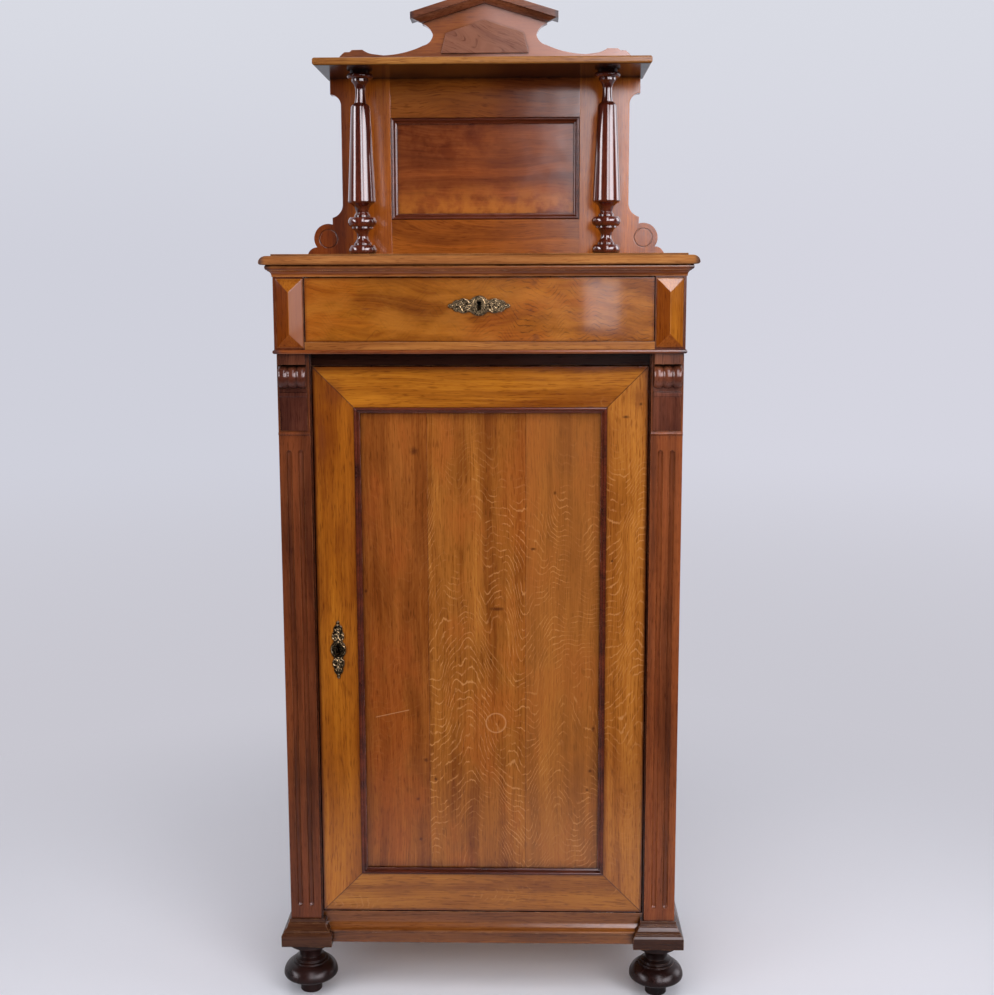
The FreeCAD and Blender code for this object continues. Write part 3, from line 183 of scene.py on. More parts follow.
def use(tree, group, **inputs):
    """Places a node group and returns its outputs."""
    named = {label.replace("_", " "): value for label, value in inputs.items()}
    return put(tree, "ShaderNodeGroup", named, node_tree=group).outputs


# Building of objects

def add_object(name, data):
    """A new object in the scene."""
    item = bpy.data.objects.new(name, data)
    bpy.context.scene.collection.objects.link(item)
    return item


def add_shape(name, shape, material):
    """The finished shape as an object with this material."""
    mesh = bpy.data.meshes.new(name)
    shape.to_mesh(mesh)
    shape.free()
    mesh.materials.append(material)
    return add_object(name, mesh)


# The camera, solved from the photograph

CAMERA_PLACE = Vector((0.0804, -2.4191, 1.2264))
CAMERA_TURN, CAMERA_DIP, CAMERA_ROLL = math.radians(1.341), math.radians(8.670), math.radians(-0.153)
FOCAL_PIXELS, FRAME_WIDTH, FRAME_HEIGHT, SENSOR = 1385.5, 994, 995, 36.0
camera_way = (Matrix.Rotation(CAMERA_TURN, 3, "Z") @ Matrix.Rotation(math.pi / 2 - CAMERA_DIP, 3, "X")
              @ Matrix.Rotation(CAMERA_ROLL, 3, "Z"))


def seen_at(pixel, depth):
    """Where the plane y = depth is seen at this pixel of the photograph, as (x, z)."""
    ray = camera_way @ Vector(((pixel[0] - FRAME_WIDTH / 2) / FOCAL_PIXELS,
                               (FRAME_HEIGHT / 2 - pixel[1]) / FOCAL_PIXELS, -1.0))
    place = CAMERA_PLACE + ray * ((depth - CAMERA_PLACE.y) / ray.y)
    return place.x, place.z


# Effects that several finishes share

SEED_SHIFT = (1.73, 0.91, 2.37)
OPEN_AIR_SAMPLES, ROUNDING_SAMPLES = 8, 6
PATCH_RATE, RUB_RATE = 60.0, 34.0


def grain_group():
    """Wood with its grain along Z: streaks, growth rings, fibres, pores, clouds and a slow drift of tone."""
    tree, given, out = new_group("Grain", ("Vector", "Seed", "Bend", "Rings"),
                                 ("Streaks", "Rings", "Fibres", "Pores", "Cloud", "Drift"))
    shift = join(tree, **{axis: times(tree, given["Seed"], step) for axis, step in zip("XYZ", SEED_SHIFT)})
    moved = vector_calc(tree, "ADD", given["Vector"], shift)
    sway = minus(tree, long_noise(tree, moved, (7.0, 7.0, 2.6), 2.5), 0.5)
    bent = vector_calc(tree, "ADD", moved, join(tree, X=times(tree, sway, given["Bend"])))
    streaks = long_noise(tree, bent, (48.0, 48.0, 2.2), 4.0, 0.65)
    wander = long_noise(tree, bent, (3.0, 3.0, 0.7), 1.5)
    rings = plus(tree, times(tree, split(tree, bent)["X"], given["Rings"]), times(tree, wander, 7.0))
    fibres = long_noise(tree, bent, (430.0, 430.0, 9.0), 3.0, 0.65)
    pores = long_noise(tree, bent, (620.0, 620.0, 52.0), 1.5)
    cloud = long_noise(tree, moved, (13.0, 13.0, 6.0), 4.0, 0.6)
    drift = long_noise(tree, moved, (5.0, 5.0, 2.2), 2.0)
    return close_group(tree, out, Streaks=streaks, Rings=calc(tree, "PINGPONG", rings, 1.0),
                       Fibres=fade(tree, fibres, 0.3, 0.7), Pores=fade(tree, pores, 0.54, 0.7), Cloud=cloud,
                       Drift=fade(tree, drift, 0.38, 0.62))


def figure_group():
    """Thin wavy broken lines that cross the grain and drift with it, such as the pale ray flecks of oak."""
    tree, given, out = new_group("Figure lines", ("Vector", "Seed", "Pitch", "Sweep", "Cover"), ("Lines",))
    moved = vector_calc(tree, "ADD", given["Vector"], join(tree, X=given["Seed"], Z=given["Seed"]))
    field = long_noise(tree, moved, (10.0, 10.0, 2.6), 2.0)
    wiggle = long_noise(tree, moved, (44.0, 44.0, 22.0), 3.0, 0.7)
    height = split(tree, moved)["Z"]
    wave = plus(tree, times(tree, field, given["Sweep"]), times(tree, height, given["Pitch"]))
    wave = plus(tree, wave, times(tree, wiggle, 1.7))
    line = fade(tree, calc(tree, "PINGPONG", wave, 0.5), 0.34, 0.5)
    broken = fade(tree, long_noise(tree, moved, (55.0, 55.0, 40.0), 3.0, 0.7), 0.4, 0.6)
    patch = long_noise(tree, moved, (19.0, 19.0, 6.0), 3.0, 0.6)
    patch = fade(tree, plus(tree, patch, given["Cover"]), 0.9, 1.15)
    return close_group(tree, out, Lines=times(tree, line, broken, patch))


def age_group():
    """Dirt and painted shade in the corners, from ambient occlusion, and rubbed pale edges, over any colour.
    """
    tree, given, out = new_group(
        "Age", ("Color", "Dirt Color", "Worn Color", "Dirt", "Wear", "Reach", "Round"),
        ("Color", "Edge", "Normal"))
    place = object_place(tree)
    open_air = put(tree, "ShaderNodeAmbientOcclusion", {"Distance": given["Reach"]},
                   samples=OPEN_AIR_SAMPLES).outputs["AO"]
    patchy = fade(tree, noise(tree, place, PATCH_RATE, 3.0), 0.25, 0.75, 0.55, 1.0)
    # Ambient occlusion darkens corners, gaps and recesses: painted shade, mixed with dirt.
    grime_and_shade = times(tree, up_to(tree, open_air, 0.3, 0.95, 1.0), given["Dirt"])
    rounded = put(tree, "ShaderNodeBevel", {"Radius": given["Round"]}, samples=ROUNDING_SAMPLES).outputs[0]
    flat = put(tree, "ShaderNodeNewGeometry").outputs["Normal"]
    edge = up_to(tree, measure(tree, "DOT_PRODUCT", rounded, flat), 0.8, 0.985, 1.0)
    uneven = fade(tree, noise(tree, place, RUB_RATE, 3.0), 0.4, 0.62)
    rub = times(tree, edge, uneven, given["Wear"], fade(tree, open_air, 0.45, 0.7))
    worn = tint(tree, rub, given["Color"], given["Worn Color"])
    dirty_and_shaded = tint(tree, times(tree, grime_and_shade, patchy), worn, given["Dirt Color"])
    return close_group(tree, out, Color=dirty_and_shaded, Edge=rub, Normal=rounded)


def polish_group():
    """Uneven hand-rubbed shellac: roughness and a faint waviness."""
    tree, given, out = new_group("Polish", ("Vector", "Dull", "Gloss"), ("Roughness", "Waviness"))
    smear = long_noise(tree, given["Vector"], (14.0, 14.0, 9.0), 4.0)
    span = minus(tree, given["Dull"], given["Gloss"])
    waves = long_noise(tree, given["Vector"], (22.0, 22.0, 16.0), 1.5)
    return close_group(tree, out, Roughness=plus(tree, given["Gloss"], times(tree, smear, span)),
                       Waviness=waves)


grain = grain_group()
figure_lines = figure_group()
age = age_group()
polish = polish_group()


# Finishes

# How much each part of the grain counts towards the pale colour
STREAK_PART, RING_PART, CLOUD_PART = 0.55, 0.12, 0.38
DRIFT_SHADE, FIBRE_SHADE, PORE_SHADE = (0.72, 0.6, 0.5), (0.66, 0.52, 0.42), (0.42, 0.3, 0.22)
WARM_CLOUDS = (0.45, 0.65, 0.0, 0.7)
# Dark colours that the ambient occlusion paints into corners: painted shade, mixed with dirt.
WOOD_DIRT_AND_SHADE, METAL_DIRT = srgb(14, 6, 4), srgb(10, 7, 5)
FIGURE_SEED_STEP = 3.1
EDGE_DULLNESS, FIBRE_RELIEF = 0.15, 0.03
METAL_SKIN_RATE, METAL_SKIN_DULLNESS = 260.0, 0.14
# Strength and depth of the bumps
WOOD_BUMPS, METAL_BUMPS = (0.5, 0.0009), (0.15, 0.0003)


def new_material(name):
    material = bpy.data.materials.new(name)
    material.use_nodes = True
    tree = material.node_tree
    shader = next(node for node in tree.nodes if node.type == "BSDF_PRINCIPLED")
    return material, tree, shader


def wire_surface(tree, shader, aged, roughness, relief, strength, depth):
    """Leads the aged colour, the roughness and the bumps of a relief into the surface."""
    bump = put(tree, "ShaderNodeBump", {"Strength": strength, "Distance": depth, "Height": relief,
                                        "Normal": aged["Normal"]}).outputs[0]
    for label, socket in (("Base Color", aged["Color"]), ("Roughness", roughness), ("Normal", bump)):
        tree.links.new(socket, shader.inputs[label])


def grain_place(tree, along, slant):
    """Object coordinates turned so that the grain runs along the named axis, with a slant in degrees."""
    place = object_place(tree)
    if slant:
        turn = (0.0, math.radians(slant), 0.0)
        place = put(tree, "ShaderNodeMapping", {"Vector": place, "Rotation": turn}).outputs[0]
    if along == "Z":
        return place
    x, y, z = split(tree, place)
    return join(tree, X=z, Y=y, Z=x) if along == "X" else join(tree, X=x, Y=z, Z=y)


def timber(name, along, pale, deep, seed, warm=None, rings=26.0, bend=0.03, fibre=0.7, pore=0.6, drift=0.5,
           spread=(0.32, 0.68), slant=0.0,
           flecks=0.0, cover=0.4, pitch=70.0, sweep=20.0, fleck_color=(208, 146, 84), where=None, crown=False,
           gloss=0.1, dull=0.24, mirror=0.5, coat=0.5, smooth=0.08,
           dirt_and_shade=0.9, wear=0.35, worn=(196, 138, 90), reach=0.013, edge=0.0014, marks=None):
    """Polished wood between a pale and a deep colour, both as seen in plain light.

    After the grain come the figure lines over it, the polish, and then dirt with painted shade in the
    corners, wear, and the marks, some of which are painted light and shade.
    """
    material, tree, shader = new_material(name)
    place = grain_place(tree, along, slant)
    wood = use(tree, grain, Vector=place, Seed=seed, Bend=bend, Rings=rings)
    mixed = plus(tree, times(tree, wood["Streaks"], STREAK_PART),
                 plus(tree, times(tree, wood["Rings"], RING_PART), times(tree, wood["Cloud"], CLOUD_PART)))
    color = tint(tree, fade(tree, mixed, *spread), srgb(*deep), srgb(*pale))
    if warm:
        color = stain(tree, fade(tree, wood["Cloud"], *WARM_CLOUDS), color, warm)
    for layer, strength, shade in (("Drift", drift, DRIFT_SHADE), ("Fibres", fibre, FIBRE_SHADE),
                                   ("Pores", pore, PORE_SHADE)):
        color = deepen(tree, times(tree, wood[layer], strength), color, shade)
    if flecks:
        figure_place = object_place(tree) if crown else place
        lines = use(tree, figure_lines, Vector=figure_place, Seed=seed + FIGURE_SEED_STEP, Pitch=pitch,
                    Sweep=sweep, Cover=cover)["Lines"]
        if where:
            lines = times(tree, lines, where(tree))
        color = stain(tree, times(tree, lines, flecks), color, fleck_color)
    if marks:
        color = marks(tree, color)
    aged = use(tree, age, Color=color, Dirt_Color=WOOD_DIRT_AND_SHADE, Worn_Color=srgb(*worn), Dirt=dirt_and_shade, Wear=wear,
               Reach=reach, Round=edge)
    shine = use(tree, polish, Vector=place, Dull=dull, Gloss=gloss)
    roughness = plus(tree, shine["Roughness"], times(tree, aged["Edge"], EDGE_DULLNESS))
    relief = plus(tree, shine["Waviness"], times(tree, wood["Fibres"], FIBRE_RELIEF))
    wire_surface(tree, shader, aged, roughness, relief, *WOOD_BUMPS)
    shader.inputs["Specular IOR Level"].default_value = mirror
    shader.inputs["Coat Weight"].default_value = coat
    shader.inputs["Coat Roughness"].default_value = smooth
    return material


def metal(name, bright, dark, rough, dirt_and_shade=0.85, marks=None):
    """Old metal with a dark skin that is rubbed through on the high places."""
    material, tree, shader = new_material(name)
    place = object_place(tree)
    skin = fade(tree, noise(tree, place, METAL_SKIN_RATE, 4.0, 0.6), 0.32, 0.68)
    color = tint(tree, skin, srgb(*dark), srgb(*bright))
    if marks:
        color = marks(tree, color)
    aged = use(tree, age, Color=color, Dirt_Color=METAL_DIRT, Worn_Color=srgb(*bright), Dirt=dirt_and_shade, Wear=0.8,
               Reach=0.0035, Round=0.0003)
    roughness = fade(tree, skin, 0.0, 1.0, rough + METAL_SKIN_DULLNESS, rough)
    relief = noise(tree, place, METAL_SKIN_RATE * 3, 2.0)
    wire_surface(tree, shader, aged, roughness, relief, *METAL_BUMPS)
    shader.inputs["Metallic"].default_value = 1.0
    return material


def bare_wood(name, along, pale, deep, seed, marks=None):
    """Unpolished softwood of the inside and the back."""
    return timber(name, along, pale, deep, seed, rings=60.0, bend=0.05, fibre=0.3, pore=0.15, drift=0.2,
                  gloss=0.55, dull=0.75, coat=0.0, dirt_and_shade=0.55, wear=0.15, reach=0.03, marks=marks)


# Marks of use, and painted light and shade, each a layer over the wood's colour. Lengths are in metres.

METRES_PER_PIXEL = 0.00168
SPOT_RAGGEDNESS = 1.3
DOOR_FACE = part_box("door_stile_right")[0].y
PANEL_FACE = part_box("door_panel")[0].y
DRAWER_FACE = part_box("drawer_front")[0].y
LEFT, RIGHT, DOWN, FRONT_AND_DOWN = (-1.0, 0.0, 0.0), (1.0, 0.0, 0.0), (0.0, 0.0, -1.0), (0.0, -0.7, -0.7)


def front_place(tree):
    """Object coordinates, and the places across and up the front."""
    place = object_place(tree)
    x, _, z = split(tree, place)
    return place, x, z


def outline_distance(tree, node):
    """How far a point of the front is inside the nearest outer edge of a node's box."""
    low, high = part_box(node)
    _, x, z = front_place(tree)
    beside = minus(tree, (high.x - low.x) / 2, apart(tree, x, (low.x + high.x) / 2))
    above = minus(tree, (high.z - low.z) / 2, apart(tree, z, (low.z + high.z) / 2))
    return calc(tree, "MINIMUM", beside, above)


def facing(tree, axis, low, high):
    """A mask for the faces that look along an axis, such as a soffit or one facet."""
    normal = put(tree, "ShaderNodeNewGeometry").outputs["True Normal"]
    return fade(tree, measure(tree, "DOT_PRODUCT", normal, axis), low, high)


def spot(tree, place, middle, reach, tall):
    """A ragged soft-edged oval mask round a point (x, z)."""
    x, _, z = split(tree, place)
    across = calc(tree, "DIVIDE", minus(tree, x, middle[0]), reach)
    along = calc(tree, "DIVIDE", minus(tree, z, middle[1]), reach * tall)
    ragged = noise(tree, place, SPOT_RAGGEDNESS / reach, 4.0, 0.65)
    away = calc(tree, "SQRT", plus(tree, times(tree, across, across), times(tree, along, along)))
    return up_to(tree, plus(tree, away, ragged), 0.6, 1.6, 1.0)


def knots(tree, color, place, pixels, depth, tone=(58, 24, 12), strength=0.8):
    """Small dark knots at pixels of the photograph, as (column, row, reach, tallness)."""
    for column, row, reach, tall in pixels:
        knot = spot(tree, place, seen_at((column, row), depth), reach * METRES_PER_PIXEL, tall)
        color = stain(tree, times(tree, knot, strength), color, tone)
    return color


STAIN_PIXELS = ((333, 393, 14.0, 1.3), (322, 440, 5.0, 6.0), (638, 398, 9.0, 1.6))
FRAME_KNOT_PIXELS = ((626, 417, 5.0, 0.4), (641, 404, 2.0, 1.0), (612, 561, 1.6, 1.0))
TOP_SHADOW_REACH = 0.36


def door_frame_marks(tree, color):
    """Dark mitre joints, old stains, polish that has darkened along the inner edges, and along the outer
    edges dirt with painted shade, which reaches furthest at the top as a painted shadow of the overhang.
    """
    low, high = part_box("door_stile_right")
    frame_width = high.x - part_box("door_panel_moulding")[1].x
    middle = (low.z + high.z) / 2
    place, x, z = front_place(tree)
    side = minus(tree, high.x, calc(tree, "ABSOLUTE", x))
    end = minus(tree, high.z - middle, apart(tree, z, middle))
    edge = calc(tree, "MINIMUM", side, end)
    # Along the top the darkening reaches further: a painted shadow of the overhang above the door.
    top = times(tree, minus(tree, high.z, z), TOP_SHADOW_REACH)
    mitre = up_to(tree, apart(tree, side, end), 0.0004, 0.0014, 0.85)
    corner = calc(tree, "LESS_THAN", side, frame_width)
    color = knots(tree, color, place, STAIN_PIXELS, DOOR_FACE, (104, 48, 20), 0.55)
    color = knots(tree, color, place, FRAME_KNOT_PIXELS, DOOR_FACE)
    color = stain(tree, times(tree, mitre, corner), color, (52, 22, 10))
    # Dirt and painted shade of the gaps along the outer edges.
    outer_dirt_and_shade = up_to(tree, calc(tree, "MINIMUM", edge, top), 0.0, 0.0055, 0.9)
    color = deepen(tree, outer_dirt_and_shade, color, (0.3, 0.18, 0.13))
    inner = up_to(tree, apart(tree, edge, frame_width), 0.0, 0.01, 0.5)
    return deepen(tree, inner, color, (0.62, 0.5, 0.42))


PLANK_JOINTS = (-0.089, 0.075)
KNOT_PIXELS = ((414, 451, 5.0, 1.0), (366, 591, 2.2, 1.0), (497, 609, 9.0, 0.3), (533, 549, 4.0, 0.5),
               (555, 493, 2.0, 1.4), (426, 760, 3.0, 1.0), (436, 779, 2.4, 1.0), (418, 799, 2.4, 1.0),
               (421, 839, 2.6, 1.0), (590, 771, 2.6, 1.0), (587, 790, 2.0, 1.0), (593, 729, 2.4, 1.6))
RING_STAIN_PIXEL, RING_STAIN_RADIUS = (496, 723), 10 * METRES_PER_PIXEL
SCRATCH_PIXELS = ((376, 717), (409, 710))
PANEL_COLUMN, PANEL_FLECK_ROWS = 500, (420, 520)
STILE_COLUMN, STILE_FLECK_ROWS = 620, (450, 480, 720, 760)
FEW_PANEL_FLECKS, FEW_STILE_FLECKS = 0.12, 0.2
MOULDING_WIDTH = 0.011


def panel_fleck_area(tree):
    """Flecks cover the middle and right planks and fade out towards the top."""
    _, x, z = front_place(tree)
    top, full = (seen_at((PANEL_COLUMN, row), PANEL_FACE)[1] for row in PANEL_FLECK_ROWS)
    planks = fade(tree, x, PLANK_JOINTS[0] - 0.002, PLANK_JOINTS[0] + 0.002, FEW_PANEL_FLECKS, 1.0)
    return times(tree, planks, fade(tree, z, full, top, 1.0, FEW_PANEL_FLECKS))


def stile_fleck_area(tree):
    """Flecks in the middle of the right stile's length."""
    _, _, z = front_place(tree)
    begin, full, still, gone = (seen_at((STILE_COLUMN, row), DOOR_FACE)[1] for row in STILE_FLECK_ROWS)
    return times(tree, fade(tree, z, full, begin, 1.0, FEW_STILE_FLECKS),
                 fade(tree, z, gone, still, FEW_STILE_FLECKS, 1.0))


def ring_stain(tree, place):
    """The ring that a wet glass has left."""
    x, z = seen_at(RING_STAIN_PIXEL, PANEL_FACE)
    away = measure(tree, "DISTANCE", place, (x, PANEL_FACE, z))
    return up_to(tree, apart(tree, away, RING_STAIN_RADIUS), 0.0004, 0.0018, 0.4)


def scratch(tree, x, z):
    """A straight thin scratch between two pixels of the photograph."""
    (start_x, start_z), (end_x, end_z) = (seen_at(pixel, PANEL_FACE) for pixel in SCRATCH_PIXELS)
    slope = (end_z - start_z) / (end_x - start_x)
    level = plus(tree, times(tree, minus(tree, x, start_x), slope), start_z)
    along = calc(tree, "COMPARE", x, (start_x + end_x) / 2, (end_x - start_x) / 2)
    return times(tree, up_to(tree, apart(tree, z, level), 0.0003, 0.001, 0.4), along)


def door_panel_marks(tree, color):
    """Three planks of different tone, small knots, and on the outside a ring stain and a scratch."""
    place, x, z = front_place(tree)
    left_plank = calc(tree, "LESS_THAN", x, PLANK_JOINTS[0])
    right_plank = calc(tree, "GREATER_THAN", x, PLANK_JOINTS[1])
    color = deepen(tree, times(tree, left_plank, 0.9), color, (0.86, 0.76, 0.8))
    color = stain(tree, times(tree, right_plank, 0.25), color, (172, 110, 52))
    for joint in PLANK_JOINTS:
        line = up_to(tree, apart(tree, x, joint), 0.0003, 0.0014, 0.55)
        color = deepen(tree, line, color, (0.45, 0.32, 0.24))
    color = knots(tree, color, place, KNOT_PIXELS, PANEL_FACE, (66, 26, 12), 0.75)
    outside = calc(tree, "LESS_THAN", split(tree, place)["Y"], PANEL_FACE + 0.003)
    color = stain(tree, times(tree, ring_stain(tree, place), outside), color, (206, 150, 96))
    color = stain(tree, times(tree, scratch(tree, x, z), outside), color, (208, 160, 110))
    away = minus(tree, outline_distance(tree, "door_panel_moulding"), MOULDING_WIDTH)
    return deepen(tree, up_to(tree, away, 0.0, 0.018, 0.55), color, (0.62, 0.56, 0.5))


BURL_PIXELS = ((534, 283, 5.0, 0.8), (597, 280, 7.0, 0.6), (536, 337, 5.0, 0.7), (366, 309, 7.0, 0.2),
               (531, 310, 3.0, 0.6), (570, 312, 3.0, 0.5))


def drawer_marks(tree, color):
    """Burls of the veneer, painted shade over the left part, and darkening along its edges."""
    place, x, _ = front_place(tree)
    swirl = long_noise(tree, place, (13.0, 13.0, 30.0), 4.0, 0.6)
    color = stain(tree, fade(tree, swirl, 0.4, 0.72, 0.0, 0.45), color, (196, 124, 44))
    # Painted shade: the left part is darker, as the light falls from the right.
    color = deepen(tree, up_to(tree, x, -0.05, 0.15, 0.5), color, (0.7, 0.66, 0.6))
    color = knots(tree, color, place, BURL_PIXELS, DRAWER_FACE, (96, 50, 24), 0.6)
    edge = up_to(tree, outline_distance(tree, "drawer_front"), 0.0, 0.005, 0.75)
    return deepen(tree, edge, color, (0.5, 0.36, 0.28))


def crown_figure_area(tree):
    """The arched figure shows most in the right half of the drawer."""
    _, x, _ = front_place(tree)
    return fade(tree, x, -0.1, 0.08, 0.35, 1.0)


def keyhole_shade_and_dirt(tree, color):
    """Black round both keyholes: painted shade of the holes, with dirt."""
    _, x, z = front_place(tree)
    for node in ("drawer_escutcheon", "door_escutcheon"):
        low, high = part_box(node)
        across = up_to(tree, apart(tree, x, (low.x + high.x) / 2), 0.0026, 0.0046, 0.9)
        up = up_to(tree, apart(tree, z, (low.z + high.z) / 2), 0.007, 0.0092, 1.0)
        # Painted shade of the keyhole, with dirt round it.
        color = stain(tree, times(tree, across, up), color, (14, 9, 6))
    return color


UPPER_RAIL = (1.45, 1.5)
OUTER_WING = (-0.265, -0.225)


def gallery_rail_tone_and_sheen(tree, color):
    """The right half of the upper rail is darker wood with a cool mauve cast, which is a painted sheen."""
    _, x, z = front_place(tree)
    right = times(tree, fade(tree, x, -0.03, 0.05), fade(tree, z, *UPPER_RAIL))
    return deepen(tree, right, color, (0.62, 0.52, 0.72))


def gallery_stile_marks(tree, color):
    """The outer part of the left wing is darker and redder."""
    _, x, _ = front_place(tree)
    return deepen(tree, up_to(tree, x, *OUTER_WING, 1.0), color, (0.5, 0.38, 0.32))


def gallery_panel_marks(tree, color):
    """Mottled golden wood low down and dark red clouds in the upper left."""
    place, x, z = front_place(tree)
    low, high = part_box("gallery_panel")
    mottle = noise(tree, place, 24.0, 4.0, 0.65)
    golden = times(tree, up_to(tree, z, low.z + 0.01, low.z + 0.09, 0.8), fade(tree, mottle, 0.36, 0.62))
    color = stain(tree, golden, color, (196, 118, 44))
    upper = times(tree, fade(tree, z, low.z + 0.05, high.z - 0.03), fade(tree, x, -0.06, 0.08, 1.0, 0.2))
    return deepen(tree, times(tree, upper, fade(tree, mottle, 0.6, 0.34)), color, (0.58, 0.4, 0.34))


def soffit_painted_shade(tree, color):
    """The underside is painted nearly black, a painted shade where little light reaches."""
    return stain(tree, facing(tree, DOWN, 0.6, 0.9), color, (22, 8, 6))


def painted_shade_at_ends(node, length):
    """Painted shade that blackens both ends of a moulding, where it turns away from the light."""
    _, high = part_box(node)

    def marks(tree, color):
        _, x, _ = front_place(tree)
        end = minus(tree, high.x, calc(tree, "ABSOLUTE", x))
        return stain(tree, up_to(tree, end, 0.2 * length, length, 0.8), color, (52, 42, 46))
    return marks


def cornice_painted_shade(tree, color):
    """The hollow of the cornice, which faces down, is darker as a painted shade, and so are its ends."""
    color = deepen(tree, facing(tree, FRONT_AND_DOWN, 0.74, 0.92), color, (0.6, 0.46, 0.42))
    return painted_shade_at_ends("cornice_moulding", 0.012)(tree, color)


def left_painted_shade(tree, color):
    """The left pilaster and corbel are darker than the right ones, a painted shade since the light falls from
    the right.
    """
    _, x, _ = front_place(tree)
    return deepen(tree, up_to(tree, x, -0.1, 0.1, 1.0), color, (0.64, 0.62, 0.68))


def corbel_marks(tree, color):
    """The block over the scroll is warmer than the scroll and its tail."""
    _, _, z = front_place(tree)
    _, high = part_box("corbel_left")
    scroll = up_to(tree, z, high.z - 0.028, high.z - 0.022, 1.0)
    # The left corbel also gets the painted shade of the left side.
    return left_painted_shade(tree, deepen(tree, scroll, color, (0.86, 0.78, 0.88)))


def crest_painted_sheen(tree, color):
    """A pale pink painted sheen over the right side of the crest."""
    _, x, _ = front_place(tree)
    return stain(tree, fade(tree, x, -0.05, 0.03, 0.06, 0.55), color, (194, 150, 140))


BACK_BOARD_WIDTH = 0.112


def back_board_marks(tree, color):
    """Joints between the boards of the back, each with a tone of its own. They darken towards the floor."""
    _, x, z = front_place(tree)
    across = calc(tree, "DIVIDE", plus(tree, x, 1.0), BACK_BOARD_WIDTH)
    tone = calc(tree, "SINE", times(tree, calc(tree, "FLOOR", across), 2.3))
    color = deepen(tree, fade(tree, tone, -1.0, 1.0, 0.0, 0.6), color, (0.78, 0.68, 0.58))
    joint = up_to(tree, calc(tree, "PINGPONG", across, 0.5), 0.006, 0.018, 0.9)
    color = deepen(tree, joint, color, (0.2, 0.14, 0.1))
    return deepen(tree, up_to(tree, z, 0.08, 0.45, 0.6), color, (0.66, 0.58, 0.52))


FACET_SLOPE = (0.2, 0.4)


def facet_light_and_shade(tree, color):
    """Each facet is coloured by how it faces the light.

    Those that face left or down get painted shade, and the left block's facet that faces right gets a dull
    pink painted sheen.
    """
    _, x, _ = front_place(tree)
    inner = times(tree, facing(tree, RIGHT, *FACET_SLOPE), calc(tree, "LESS_THAN", x, 0.0))
    # A pink painted sheen on the left block's facet that faces right.
    color = stain(tree, times(tree, inner, 0.8), color, (138, 82, 56))
    # Painted shade on the facets that face left or down.
    color = deepen(tree, facing(tree, LEFT, *FACET_SLOPE), color, (0.5, 0.34, 0.3))
    return deepen(tree, facing(tree, DOWN, *FACET_SLOPE), color, (0.72, 0.56, 0.5))


